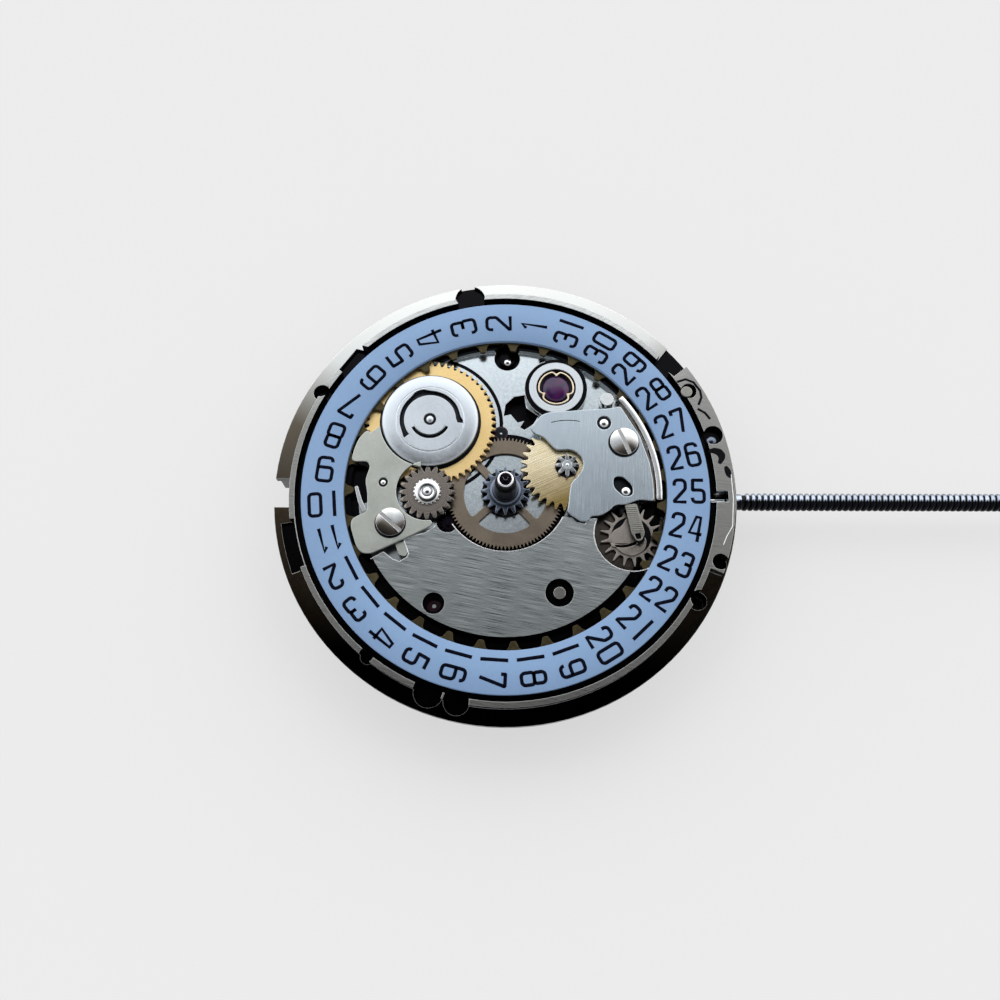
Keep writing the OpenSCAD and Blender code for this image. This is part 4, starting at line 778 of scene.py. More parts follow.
def makeStrokeTree():
    # pen lines with rounded corners, laid as thin ink
    tree, given, end = newShapeTree("inkStroke", {"Stroke Width": 0.17, "Ink Thickness": 0.01})
    soft = node(tree, "GeometryNodeFilletCurve", mode="POLY")
    feed(soft, {"Curve": given["Geometry"], "Radius": node(tree, "GeometryNodeInputRadius").outputs[0],
                "Count": 5, "Limit Radius": True})
    even = node(tree, "GeometryNodeSetCurveRadius", {"Curve": soft.outputs[0], "Radius": 1})
    upright = node(tree, "GeometryNodeSetCurveNormal", {0: even.outputs[0]}, mode="Z_UP")
    pen = node(tree, "GeometryNodeCurvePrimitiveQuadrilateral",
               {"Width": given["Stroke Width"], "Height": given["Ink Thickness"]})
    drawn = node(tree, "GeometryNodeCurveToMesh", {"Curve": upright.outputs[0], "Profile Curve": pen.outputs[0],
                                                   "Fill Caps": True})
    return endTree(tree, drawn.outputs[0], given, end)


ringSizes = {"outer": 11.4, "inner": 9.03, "top": -0.05, "thick": 0.25, "edge": 0.04, "hoop": (9.8, 180),
             "hoopLevels": (-0.5, -0.3, 0.02), "count": 31, "turn": -0.6, "shown": 25,
             "singleAt": 10.17, "innerAt": 9.72, "outerAt": 10.73, "wide": (1.02, 0.84), "tall": (1.56, 1.47),
             "stroke": 0.19, "ink": 0.012, "lift": 0.001, "eleven": (0.05, -0.2), "teens": (-0.18, -0.12),
             "ones": (0.08, 0.10), "even": (0, 0),
             "tooth": ((9.0, -2.75), (8.88, -1.9), (8.55, -1.1), (8.5, -0.7), (8.5, 0.7), (8.55, 1.1), (8.88, 1.9),
                       (9.0, 2.75))}
# pen paths of the numerals in a box one wide and one tall; a third number rounds the corner
digitPaths = {
    "0": [[(0.5, 0), (0, 0, 0.2), (0, 1, 0.2), (1, 1, 0.2), (1, 0, 0.2), (0.5, 0)]],
    "1": [[(0.5, -0.08), (0.5, 1, 0), (0.22, 0.80)]],
    "l": [[(0.5, -0.08), (0.5, 1.08)]],
    "2": [[(0.02, 0.74), (0.02, 1, 0.22), (0.96, 1, 0.22), (0.96, 0.60, 0.2), (0, 0.05, 0.04), (0, 0, 0), (1.02, 0)]],
    "3": [[(0.03, 0.80), (0.03, 1, 0.18), (0.94, 1, 0.18), (0.94, 0.53, 0.12), (0.40, 0.53)],
          [(0.40, 0.53), (1, 0.53, 0.16), (1, 0, 0.2), (0, 0, 0.2), (0, 0.22)]],
    "4": [[(1.06, 0.27), (0, 0.27, 0), (0.40, 1.02, 0), (0.78, 1.02, 0), (0.78, -0.08)]],
    "5": [[(0.96, 1), (0.06, 1, 0.02), (0.03, 0.55, 0.02), (1, 0.55, 0.2), (1, 0, 0.2), (0, 0, 0.2), (0, 0.20)]],
    "6": [[(0.94, 0.82), (0.94, 1, 0.2), (0, 1, 0.22), (0, 0, 0.2), (1, 0, 0.2), (1, 0.58, 0.2), (0, 0.58)]],
    "7": [[(0, 0.82), (0, 1, 0.02), (1, 1, 0.04), (0.32, -0.07)]],
    "8": [[(0.5, 0.53), (0.05, 0.53, 0.14), (0.05, 1, 0.2), (0.95, 1, 0.2), (0.95, 0.53, 0.14), (0.5, 0.53)],
          [(0.5, 0.53), (0, 0.53, 0.16), (0, 0, 0.2), (1, 0, 0.2), (1, 0.53, 0.16), (0.5, 0.53)]],
    "9": [[(0.06, 0.18), (0.06, 0, 0.2), (1, 0, 0.22), (1, 1, 0.2), (0, 1, 0.2), (0, 0.42, 0.2), (1, 0.42)]],
}


def makeDateRing(s):
    inner, outer, top, low, e = s["inner"], s["outer"], s["top"], s["top"] - s["thick"], s["edge"]
    ring = closedLathe([(inner, low), (outer, low), (outer, top - e), (outer - e / 3, top - e / 3), (outer - e, top),
                        (inner + e, top), (inner + e / 3, top - e / 3), (inner, top - e)], count=240)
    # the toothed hoop under it, with its teeth pointing inwards, painted dark as shade
    teeth = plate([circle((0, 0), *s["hoop"]), starOutline(s["count"], s["tooth"], 0.5)], *s["hoopLevels"])
    addPieces("date_ring", ("date_ring_face", ring, "ring_blue", "ring_blue", "date_ring"),
              ("date_ring_teeth", teeth, "tooth_gold_shaded", "ring_blue"))


def numeralPlaces(s, n):
    # how far from the centre each digit stands
    if n < 10:
        return [s["singleAt"]]
    shift = s["eleven" if n == 11 else "teens" if n < 20 else "ones" if n % 10 == 1 else "even"]
    return [s["innerAt"] + shift[0], s["outerAt"] + shift[1]]


def makeNumerals(s):
    strokes = []
    for n in range(1, s["count"] + 1):
        angle = math.radians((n - s["shown"]) * 360 / s["count"] + s["turn"])
        c, q = math.cos(angle), math.sin(angle)
        words = str(n) if n in (1, 11) else str(n).replace("1", "l")
        wide, tall = s["wide"][n > 9] - s["stroke"], s["tall"][n > 9] - s["stroke"]
        for word, spot in zip(words, numeralPlaces(s, n)):
            for path in digitPaths[word]:
                line = []
                for x, y, *corners in path:
                    along, across = spot + (x - 0.5) * wide, (y - 0.5) * tall
                    line.append((along * c - across * q, along * q + across * c, 0, corners[0] if corners else 0))
                strokes.append(line)
    ink = runTree(makeStrokeTree(), curveFrom("numerals", strokes, cyclic=False), {
        "Stroke Width": s["stroke"], "Ink Thickness": s["ink"], "Material": finishes["numeral_ink"]})
    addPiece("date_ring", "date_numerals", moved(ink, 0, 0, s["top"] + s["lift"]), "numeral_ink", "ring_blue")


makeDateRing(ringSizes)
makeNumerals(ringSizes)
print("date ring made")


# shares of a stud's radius and how far the dome has fallen there, in mm
studDome = ((0, 0), (0.55, 0.01), (0.85, 0.05), (1, 0.11))


def addStud(name, at, r, low, high, finish="bright_steel"):
    # a domed stud fixed in the plate
    stud = lathe([(r * share, high - fall) for share, fall in studDome] + [(r, low)], at, 32)
    addPiece("frame", name, stud, finish, "bright_steel")


# a thin near-black washer of painted shade
def addDarkRing(name, at, inner, outer, z, thick=0.02):
    addPiece("frame", name, washer(inner, outer, z - thick, z, at), "black_steel", "dark_steel")


def leaf(outline, reach, count, *levels):
    # a plate with rounded corners
    return plate([rounded(outline, reach, count)], *levels)


# rounded outlines have the reach and steps of their corners, levels the low and top side and the edge's reach and steps
sheets = {
    "levels": (-0.25, -0.05, 0.035),
    "keeper": ([(-7.8, 3.55), (-8.3, 3.0), (-8.55, 2.3), (-8.65, 1.75), (-8.5, 1.6), (-7.75, 1.6), (-7.6, 1.3),
                (-7.85, 0.5), (-7.7, -0.2), (-7.65, -1.3), (-8.05, -1.5), (-8.5, -1.75), (-8.55, -2.2), (-8.2, -3.3),
                (-7.9, -3.7), (-7.4, -3.75), (-5.6, -2.9), (-4.2, -2.2), (-4.02, -2.0), (-4.1, -1.87)], 0.28, 4),
    # the keeper's outline goes on round the date intermediate wheel and the finger disc
    "hollows": ((1.72, -96, -260, -8, interAt), (2.86, -100, -176, -6, driveAt)),
    "keeperHoles": (((-6.35, -1.95), 0.42), ((-6.83, 0.37), 0.26)),
    "bridge": ([(1.42, 3.62), (2.02, 4.42), (2.5, 4.6), (6.1, 4.85), (6.55, 5.0), (7.6, 3.2), (8.1, 1.6), (8.25, 0.5),
                (8.28, -0.7), (7.45, -0.6), (6.65, -0.9), (6.1, -0.9), (5.7, -1.3), (5.2, -1.55), (4.75, -1.55),
                (4.55, -1.85), (4.2, -1.9), (3.75, -1.6), (3.4, -1.3), (3.5, -0.9), (3.6, 0), (3.7, 0.4), (4.0, 0.7),
                (4.3, 1.1), (4.4, 1.5), (4.3, 1.85), (4.0, 2.2), (3.6, 2.35), (2.85, 2.3), (2.5, 2.7), (2.2, 3.05),
                (1.6, 3.3)], 0.22, 4),
    "bridgeHoles": (((6.7, 2.8), 0.42), ((5.6, 3.95), 0.40)),
    "bridgeSlot": ([(6.05, 0.72), (6.02, 0.10), (6.62, -0.45), (7.10, -0.35), (7.10, 0.20), (6.55, 0.75)], 0.3, 4),
    "scribe": ((3.55, 0.7), 3.4, 0.05, 79, 106, 16), "scribeLevels": (-0.07, -0.047, 0.002, 1),
    "spring": ((0, 0), 8.33, 0.10, -4, 38, 30), "springLevels": (-0.40, -0.27, 0.01, 1),
    "strip": ([(-8.46, 0.18), (-8.28, 0.26), (-8.02, -0.55), (-7.72, -1.20), (-7.92, -1.32), (-8.22, -0.72)], 0.08, 3,
              -0.42, -0.32, 0.02),
    "tab": ([(-6.1, -3.05), (-5.35, -2.95), (-5.25, -3.45), (-5.5, -3.85), (-5.85, -3.75)], 0.15, 4,
            -0.34, -0.27, 0.02),
    # name, centre, radius, low and top of the studs; name, centre, inner and outer radius and top of the rings of
    # painted shade
    "studs": (("keeper_pin", (-6.83, 0.37), 0.17, -0.5, -0.01), ("bridge_pin", (5.6, 3.95), 0.27, -0.5, 0.0)),
    "rings": (("keeper_pin_seat_shade", (-6.83, 0.37), 0.10, 0.25, -0.07),
              ("bridge_pin_seat_shade", (5.6, 3.95), 0.20, 0.40, -0.12),
              ("keeper_screw_seat_shade", (-6.36, -2.00), 0.50, 0.87, -0.044),
              ("pallet_jewel_shade", (-0.25, 3.65), 0.08, 0.33, -0.93),
              ("bridge_screw_seat_shade", (6.68, 2.75), 0.50, 0.88, -0.044)),
}


def makeSheets(s):
    outline = rounded(*s["keeper"])
    for hollow in s["hollows"]:
        outline += arc(*hollow)
    keeper = plate([outline] + [circle(*hole) for hole in s["keeperHoles"]], *s["levels"])
    # the bridge keeps its first corner sharp
    outline = s["bridge"][0][:1] + rounded(*s["bridge"])[s["bridge"][2] + 1:]
    holes = [circle(*hole) for hole in s["bridgeHoles"]] + [rounded(*s["bridgeSlot"])]
    bridge = plate([outline] + holes, *s["levels"])
    scribe = plate([arcSlot(*s["scribe"])], *s["scribeLevels"])
    addPieces("frame", ("keeper_plate", keeper, "keeper_grey", "grey_steel", "date_ring_keeper"),
              ("calendar_plate", bridge, "bridge_satin", "rhodium_plate", "calendar_bridge"),
              ("calendar_plate_scribe", scribe, "black_steel", "rhodium_plate"))
    # a spring strip under the plate's lower edge, painted dark as shade, seen beside the jumper
    spring = plate([arcSlot(*s["spring"])], *s["springLevels"])
    addPiece("date_jumper", "jumper_shade", spring, "dark_wheel", "bright_steel")
    for stud in s["studs"]:
        addStud(*stud)
    for ring in s["rings"]:
        addDarkRing(*ring)
    # a spring strip in the dark opening beside the keeper plate, and the tab under the plate's lower edge
    addPieces("frame", ("keeper_spring_strip", leaf(*s["strip"]), "bright_steel", "bright_steel"),
              ("keeper_tab", leaf(*s["tab"]), "keeper_grey", "grey_steel"))


makeSheets(sheets)

# what the rim carries beside the stem: a filled boss, an engraved loop, a bright line along the edge, two curved cuts
# painted black as shade, a pin standing for a painted glint in a hole, bright pins; beads have their half width and
# level, turned pieces their place and steps
rimShapes = {
    "boss": ((10.38, 5.86), 0.33), "bossLevels": (-0.3, -0.02, 0.03),
    "loop": (([(9.85, 6.45), (10.35, 6.62), (10.80, 6.42), (11.15, 5.90), (11.20, 5.50), (11.02, 5.05)],
              [(10.95, 4.80), (11.35, 4.55), (11.62, 4.18)]), 0.08, -0.03),
    "edge": (([(12.62, 0.85), (12.66, -0.55), (12.52, -2.15), (12.18, -2.70), (11.95, -3.20)],), 0.026, -0.012),
    "cuts": ([(11.43, 2.33), (11.75, 2.45), (12.14, 2.37), (12.37, 2.07), (12.33, 1.77), (12.08, 1.44), (11.89, 1.53),
              (11.99, 1.80), (11.89, 2.01), (11.62, 2.13), (11.44, 2.09)],
             [(12.25, 1.32), (12.42, 1.38), (12.60, 1.12), (12.67, 0.71), (12.54, 0.62), (12.35, 0.76), (12.26, 1.03)]),
    "cutShape": (0.1, 3, -0.02, 0.004, 0.002, 1),
    "glint": ([(0, -0.26), (0.20, -0.28), (0.29, -0.34), (0.31, -0.49), (0, -0.49)], (11.72, 2.98), 32),
    "spot": ([(0, -0.80), (0.16, -0.81), (0.22, -0.86), (0.24, -0.99), (0, -0.99)], (0.12, 8.06), 32),
    "bar": ([(0, 0), (0.14, 0), (0.16, 0.03), (0.16, 1.20), (0, 1.22)], (0, 0), 24), "barAt": (11.14, -0.42, -0.95),
    "window": [(0, 5.4), (0.5, 5.9), (1.1, 6.0), (1.2, 5.2), (1.9, 4.7), (1.6, 4.2), (1.1, 3.85), (0.85, 4.0),
               (1.1, 4.4), (0.7, 4.3), (0.3, 4.8), (-0.1, 4.7)], "windowLevels": (-1.65, -1.60, 0.004, 1),
    # lines of the polished bevel along the brushed plate's edge and round the recesses
    "bevels": (([(-7.4, -4.0), (-6.7, -3.6), (-6.2, -4.0), (-5.8, -4.15), (-5.4, -3.9), (-5.3, -3.7), (-5.6, -2.9),
                 (-5.0, -2.65), (-4.5, -2.55), (-4.1, -2.3), (-3.85, -2.1)], arc(3.56, 214, 335, 3),
                [(4.0, -1.9), (4.4, -2.0), (4.6, -1.7), (5.05, -1.68)], arc(2.11, 158, 305, 4, correctorAt)),
               0.045, -0.258, 1),
}


def makeRimDetails(s):
    cuts = together(*(leaf(cut, *s["cutShape"]) for cut in s["cuts"]))
    addPieces("frame",
              ("rim_boss", plate([circle(*s["boss"])], *s["bossLevels"]), "tongue_grey", "rhodium_plate"),
              ("rim_loop", bead(*s["loop"]), "pitch_black", "rhodium_plate"),
              ("rim_bright_edge", bead(*s["edge"]), "bright_steel", "rhodium_plate"),
              ("rim_cuts_shade", cuts, "pitch_black", "rhodium_plate"),
              ("rim_glint", lathe(*s["glint"]), "blued_steel", "bright_steel"),
              ("plate_hole_screw", lathe(*s["spot"]), "bright_steel", "bright_steel"),
              ("stem_window_bar", layDown(lathe(*s["bar"]), *s["barAt"]), "bright_steel", "bright_steel"),
              ("plate_window_shade", plate([s["window"]], *s["windowLevels"]), "pitch_black", "dark_steel"),
              ("plate_bevels", bead(*s["bevels"]), "glint_steel", "rhodium_plate"))


makeRimDetails(rimShapes)


def makeScrewTree():
    # slotted heads set on points, each turned by its own angle
    tree, given, end = newShapeTree("slottedScrews", {"Head Radius": 0.8, "Head Height": 0.15, "Slot Width": 0.2,
                                                      "Slot Depth": 0.08, "Dome": 0.04})
    radius, height = given["Head Radius"], given["Head Height"]
    head = node(tree, "GeometryNodeMeshCylinder", {"Vertices": 48, "Fill Segments": 7, "Radius": radius,
                                                   "Depth": height})
    # the top is domed: it falls with the square of the distance from the middle
    x, y, z = apart(node(tree, "GeometryNodeInputPosition").outputs[0])
    share = maths("DIVIDE", plus(times(x, x), times(y, y)), times(radius, radius))
    fall = times(times(share, maths("GREATER_THAN", z, 0.0)), times(given["Dome"], -1.0))
    domed = node(tree, "GeometryNodeSetPosition", {"Geometry": head.outputs["Mesh"],
                                                   "Offset": combined(tree, 0, 0, fall)})
    size = combined(tree, times(radius, 3.0), given["Slot Width"], times(given["Slot Depth"], 2.0))
    blade = node(tree, "GeometryNodeMeshCube", {"Size": size})
    lift = node(tree, "GeometryNodeTransform", {"Geometry": blade.outputs["Mesh"],
                                                "Translation": combined(tree, 0, 0, maths("DIVIDE", height, 2.0))})
    cut = node(tree, "GeometryNodeMeshBoolean", operation="DIFFERENCE", solver="EXACT")
    feed(cut, {"Mesh 1": domed.outputs[0], "Mesh 2": lift.outputs[0]})
    turn = node(tree, "GeometryNodeInputNamedAttribute", data_type="FLOAT")
    feed(turn, {"Name": "turn"})
    spots = node(tree, "GeometryNodeInstanceOnPoints", {
        "Points": given["Geometry"], "Instance": cut.outputs["Mesh"],
        "Rotation": combined(tree, 0, 0, turn.outputs["Attribute"])})
    return endTree(tree, spots.outputs[0], given, end)


# x, y, height of the head's middle, and turn of its slot in degrees
screwSpots = [(-6.35, -1.95, 0.035, -42), (6.7, 2.8, 0.035, -68)]
screwSizes = {"Head Radius": 0.80, "Head Height": 0.17, "Slot Width": 0.20, "Slot Depth": 0.10}


def makeScrews(spots, sizes):
    points = bpy.data.meshes.new("spots")
    points.from_pydata([s[:3] for s in spots], [], [])
    turns = points.attributes.new("turn", "FLOAT", "POINT")
    turns.data.foreach_set("value", [math.radians(s[3]) for s in spots])
    heads = runTree(makeScrewTree(), points, {**sizes, "Material": finishes["screw_steel"]}, 0.03)
    addPiece("frame", "calendar_screw_heads", softened(heads, "flat"), "screw_steel", "bright_steel", "calendar_screws")


makeScrews(screwSpots, screwSizes)
print("calendar plates made")

# finger disc: a rounded outer hoop, a spring cut free by two curved slots, a raised hub, and a black skirt under it,
# painted shadow
driveSizes = {
    "gear": {"teeth": 56, "module": 0.131, "low": -0.75, "high": -0.55, "bore": 0.3, "edge": 0.015},
    "hoop": ([(1.88, -0.26), (2.60, -0.28), (2.72, -0.27), (2.75, -0.235), (2.745, -0.19), (2.71, -0.15),
              (2.63, -0.122), (2.48, -0.094), (2.32, -0.074), (2.16, -0.060), (2.0, -0.052), (1.88, -0.050)],
             driveAt, 128),
    "shadow_skirt": ([(0.40, -0.27), (2.3, -0.27), (2.3, -0.45), (2.70, -0.53), (2.90, -0.53), (2.90, -0.515),
                   (2.66, -0.505), (2.34, -0.24), (0.40, -0.24)], driveAt, 96),
    "web": (1.99, 96), "webLevels": (-0.20, -0.053, 0.012), "hub": (0.93, 64), "hubLevels": (-0.45, -0.036, 0.012),
    # the long slot's two sides: radius, then height, place and width of each swell; the short slot's sag inwards
    "far": (1.73, (0.20, 110, 13), (0.26, -7, 8), (0.10, 218, 9)), "near": (1.47, (0.10, -7, 6)),
    "turns": (-7, 219, 3), "bore": 0.36, "short": {"outer": 1.15, "inner": 0.98, "sag": 0.05, "from": 206, "to": 336},
    # steps of the short slot, the stud, and a ring of painted shade round it
    "step": 5, "stud": (0.25, -0.7, -0.012), "gap": (0.2, 0.355, -0.045),
}


def swollen(radius, swells, a):
    return polar(radius + sum(height * math.exp(-((a - at) / wide) ** 2) for height, at, wide in swells), a)


def makeDateDrive(s):
    addWheel("date_drive", "date_drive_gear", driveAt, s["gear"], "gilt_brass", "gilt_brass", "date_driving_wheel")
    far, near = ([swollen(r, swells, a) for a in range(*s["turns"])] for r, *swells in (s["far"], s["near"]))
    short, first, last = s["short"], s["short"]["from"], s["short"]["to"]
    lower = arc(short["outer"], first, last + 1, s["step"])
    lower += [polar(short["inner"] - short["sag"] * math.sin(math.pi * (a - first) / (last - first)), a)
              for a in range(last, first - 1, -s["step"])]
    web = plate([circle((0, 0), *s["web"]), far + near[::-1], lower], *s["webLevels"])
    hub = plate([circle((0, 0), *s["hub"]), circle((0, 0), s["bore"])], *s["hubLevels"])
    disc = together(closedLathe(*s["hoop"]), moved(together(web, hub), *driveAt, 0))
    addPieces("date_drive", ("finger_disc", disc, "finger_steel", "bright_steel", "date_finger_disc"),
              ("finger_disc_shadow_skirt", closedLathe(*s["shadow_skirt"]), "black_steel", "bright_steel"))
    addStud("date_drive_stud", driveAt, *s["stud"], "finger_steel")
    addDarkRing("date_drive_gap_shade", driveAt, *s["gap"])


interSizes = {
    "gear": {"teeth": 20, "module": 0.146, "low": -0.50, "high": -0.32, "bore": 0.32, "rootShare": 2.0, "fatness": 1.5},
    "crown": {"teeth": 20, "module": 0.146, "low": -0.34, "high": -0.24, "bore": 0.32, "tipShare": -4.6,
              "rootShare": 5.4, "fatness": 1.4},
    "pinion": {"teeth": 9, "module": 0.131, "low": -0.8, "high": -0.45, "bore": 0.3, "edge": 0.01},
    "hub": ([(0.31, -0.35), (0.70, -0.35), (0.70, -0.16), (0.66, -0.125), (0.36, -0.12), (0.31, -0.14)], interAt, 48),
    "shade": (0.32, 1.5, -0.53, -0.50, interAt, 64), "stud": (0.26, -0.7, -0.06),
}


def makeIntermediate(s):
    body = "date_intermediate_wheel"
    addPiece(body, "date_intermediate_shade", washer(*s["shade"]), "black_steel", "dark_steel")
    addWheel(body, "date_intermediate_gear", interAt, s["gear"], "turned_inter", "bright_steel", body)
    crown, pinion = (wheel(interAt, "bright_steel", **s[part]) for part in ("crown", "pinion"))
    hub = together(crown, closedLathe(*s["hub"]), pinion)
    addPiece(body, "date_intermediate_hub", hub, "bright_steel", "bright_steel")
    addStud("date_intermediate_stud", interAt, *s["stud"])


makeDateDrive(driveSizes)
makeIntermediate(interSizes)

motion = {
    "turn": 22.6,
    "minute": {"teeth": 31, "module": 0.16, "low": -0.60, "high": -0.42, "bore": 0.3, "edge": 0.018, "rootShare": 1.6},
    "leaves": {"teeth": 8, "module": 0.16, "low": -0.42, "high": -0.12, "bore": 0.17, "edge": 0.03, "tipShare": 0.35,
               "rootShare": 1.9, "fatness": 1.4},
    "setting": {"teeth": 14, "module": 0.16, "low": -0.62, "high": -0.42},
    "cannon": {"teeth": 16, "module": 0.16, "low": -0.66, "high": -0.36, "bore": 0.5, "edge": 0.03, "tipShare": 0.75,
               "rootShare": 1.6, "fatness": 1.1},
    "hub": ([(0.16, -0.2), (0.28, -0.2), (0.28, -0.12), (0.25, -0.105), (0.19, -0.105), (0.16, -0.12)], minuteAt, 40),
    "leafShade": (0.17, 0.66, -0.43, -0.40, minuteAt), "stud": (0.15, -0.6, -0.08),
    "post": ([(0, -0.05), (0.16, -0.06), (0.24, -0.10), (0.27, -0.17), (0.27, -1.5), (1.05, -1.5), (1.05, -1.6),
              (0, -1.6)], settingAt, 40),
}


def makeMinuteWheel(s):
    # the minute wheel's teeth stand in the gaps of the cannon pinion's
    cannonTeeth, minuteTeeth = s["cannon"]["teeth"], s["minute"]["teeth"]
    phase = s["turn"] + 180 + 180 / minuteTeeth + s["turn"] * cannonTeeth / minuteTeeth
    body = "minute_wheel"
    addWheel(body, "minute_gear", minuteAt, {**s["minute"], "phase": phase}, "gilt_grained", "gilt_brass", body)
    addWheel(body, "minute_pinion", minuteAt, s["leaves"], "pinion_steel", "bright_steel")
    addPieces(body, ("minute_hub", closedLathe(*s["hub"]), "bright_steel", "bright_steel"),
              ("minute_pinion_shade", washer(*s["leafShade"]), "black_steel", "dark_steel"))
    addStud("minute_stud", minuteAt, *s["stud"])
    addWheel("setting_wheel", "setting_gear", settingAt, s["setting"], "black_steel", "bright_steel", "setting_wheel")
    addPiece("setting_wheel", "setting_post", lathe(*s["post"]), "bright_steel", "bright_steel")


# cannon pinion: collar over the toothed foot, tube and the polished top ring; centre seconds arbor in it, which with
# the bore and tube is painted black as shade; the fine-toothed wheel under it, with four windows
cannon = {
    "shade": (0.62, 1.32, -0.73, -0.69, (0, 0), 64),
    "collar": [(0.5, -0.37), (0.90, -0.37), (0.90, -0.20), (0.86, -0.13), (0.78, -0.10), (0.66, -0.09), (0.5, -0.09)],
    "tube": [(0.44, -0.78), (0.605, -0.78), (0.605, 0.96), (0.58, 1.04), (0.46, 1.06), (0.45, 1.08), (0.45, 1.60),
             (0.445, 1.64)],
    "top": [(0.445, 1.64), (0.425, 1.685), (0.40, 1.698), (0.365, 1.70), (0.34, 1.685), (0.33, 1.64)],
    "bore": [(0.33, 1.645), (0.33, 1.30), (0.33, 0.6)],
    "pivot": ([(0, 2.05), (0.065, 2.045), (0.11, 2.02), (0.132, 1.98), (0.132, 1.66)], (0, 0), 40),
    "shaft": ([(0.124, 1.68), (0.124, 1.30), (0.24, 1.26), (0.28, 1.20), (0.28, 0.6)], (0, 0), 40),
    "drive": {"teeth": 96, "module": 0.0678, "low": -0.94, "high": -0.80, "bore": 0.46, "edge": 0.014,
              "rootShare": 2.0, "openings": windows(1.15, 2.35, 4, 0.42, 43, 0.22)},
}


def makeCannon(s, teeth):
    body, slot = "cannon_pinion", "blued_steel"
    addWheel(body, "cannon_teeth", (0, 0), teeth, "blued_steel", slot, body)
    addPieces(body, ("cannon_shade", washer(*s["shade"]), "black_steel", "dark_steel"),
              ("cannon_collar", closedLathe(s["collar"]), "blued_steel", slot),
              ("cannon_tube", lathe(s["tube"]), "black_steel", slot),
              ("cannon_bore_shade", lathe(s["bore"]), "black_steel", slot),
              ("cannon_top", lathe(s["top"]), "glint_steel", slot))
    addPieces("seconds_wheel", ("seconds_arbor_shade", lathe(*s["shaft"]), "black_steel", "bright_steel"),
              ("seconds_pivot", lathe(*s["pivot"]), "bright_steel", "bright_steel"))
    body = "cannon_driving_wheel"
    addWheel(body, "cannon_drive_gear", (0, 0), s["drive"], "dark_wheel", "dark_steel", body)


makeMinuteWheel(motion)
makeCannon(cannon, motion["cannon"])
print("motion work made")

corrector = {
    "teeth": 17, "starLevels": (-0.85, -0.68, 0.02), "lobeLevels": (-0.68, -0.58, 0.02),
    # radius and angle along one tooth of the star, then of the lobes on it
    "tooth": ((1.24, -7.5), (1.30, -4.6), (1.70, -1.2), (1.76, 0.4), (1.70, 1.6), (1.34, 3.6), (1.24, 6.5)),
    "lobes": ((1.15, 100), (0.75, 135), (1.1, 165), (1.22, 195), (1.15, 235), (1.2, 270), (1.1, 310), (0.9, 345),
              (0.55, 20), (0.7, 60)), "lobeCorners": (0.3, 5),
    "slot": ((6.45, -1.65), 1.50, 0.20, 250, 300, 14), "shade": (0.3, 1.1, -0.84, -0.675, correctorAt),
}
lever = {
    "tongue": ([(6.62, -0.86), (7.30, -0.80), (7.70, -2.50), (7.52, -2.92), (7.25, -2.98), (6.98, -2.55)], 0.12, 4),
    "hole": ([(7.12, -2.55), (7.45, -2.50), (7.50, -2.82), (7.22, -2.86)], 0.08, 3), "levels": (-0.30, -0.16, 0.02),
    "shade": ([(7.12, -2.45), (7.62, -2.40), (7.72, -2.85), (7.50, -3.10), (7.18, -2.95)], 0.12, 4,
              -0.40, -0.31, 0.01, 1),
    # the rise of a rib's corners; its left end, right end and height, each with its step from rib to rib
    "ribs": 13, "ribRise": (0, 0.02, -0.035, -0.055), "ribEnds": ((6.66, 0.0255), (7.27, 0.02736), (-1.0, -0.11)),
    "ribLevels": (-0.17, -0.13, 0.012, 1),
}
jumper = {"arcs": ((8.75, -4, 42, 2), (8.42, 40, -6, -2)), "shape": (0.05, 2, -0.25, -0.05, 0.05, 3),
          "post": ([(0, -0.1), (0.38, -0.1), (0.4, -0.14), (0.4, -0.9), (0, -0.9)], polar(7.95, 43), 32)}


def makeCorrector(s):
    star = plate([starOutline(s["teeth"], s["tooth"], 0, correctorAt)], *s["starLevels"])
    lobes = rounded([polar(r, a, correctorAt) for r, a in s["lobes"]], *s["lobeCorners"])
    addPieces("corrector_wheel", ("corrector_shade", washer(*s["shade"]), "pitch_black", "bright_steel"),
              ("corrector_star", star, "corrector_steel", "bright_steel", "corrector_wheel"),
              ("corrector_lobes", plate([lobes, arcSlot(*s["slot"])], *s["lobeLevels"]), "corrector_steel",
               "bright_steel"))


def makeLever(s):
    # ribbed tongue with a dark hole at its tip
    meshes = [plate([rounded(*s["tongue"]), rounded(*s["hole"])], *s["levels"])]
    for i in range(s["ribs"]):
        x0, x1, y = (start + step * i for start, step in s["ribEnds"])
        rib = [(x, y + rise) for x, rise in zip((x0, x1, x1, x0), s["ribRise"])]
        meshes.append(plate([rib], *s["ribLevels"]))
    addPieces("frame", ("corrector_tongue_shade", leaf(*s["shade"]), "pitch_black", "grey_steel"),
              ("corrector_tongue", together(*meshes), "tongue_grey", "grey_steel", "corrector_lever"))


def makeJumper(s):
    bar = [point for part in s["arcs"] for point in arc(*part)]
    addPieces("date_jumper", ("jumper_spring", leaf(bar, *s["shape"]), "bright_steel", "bright_steel", "date_jumper"),
              ("jumper_post", lathe(*s["post"]), "bright_steel", "bright_steel"))


makeCorrector(corrector)
makeLever(lever)
makeJumper(jumper)
print("corrector made")

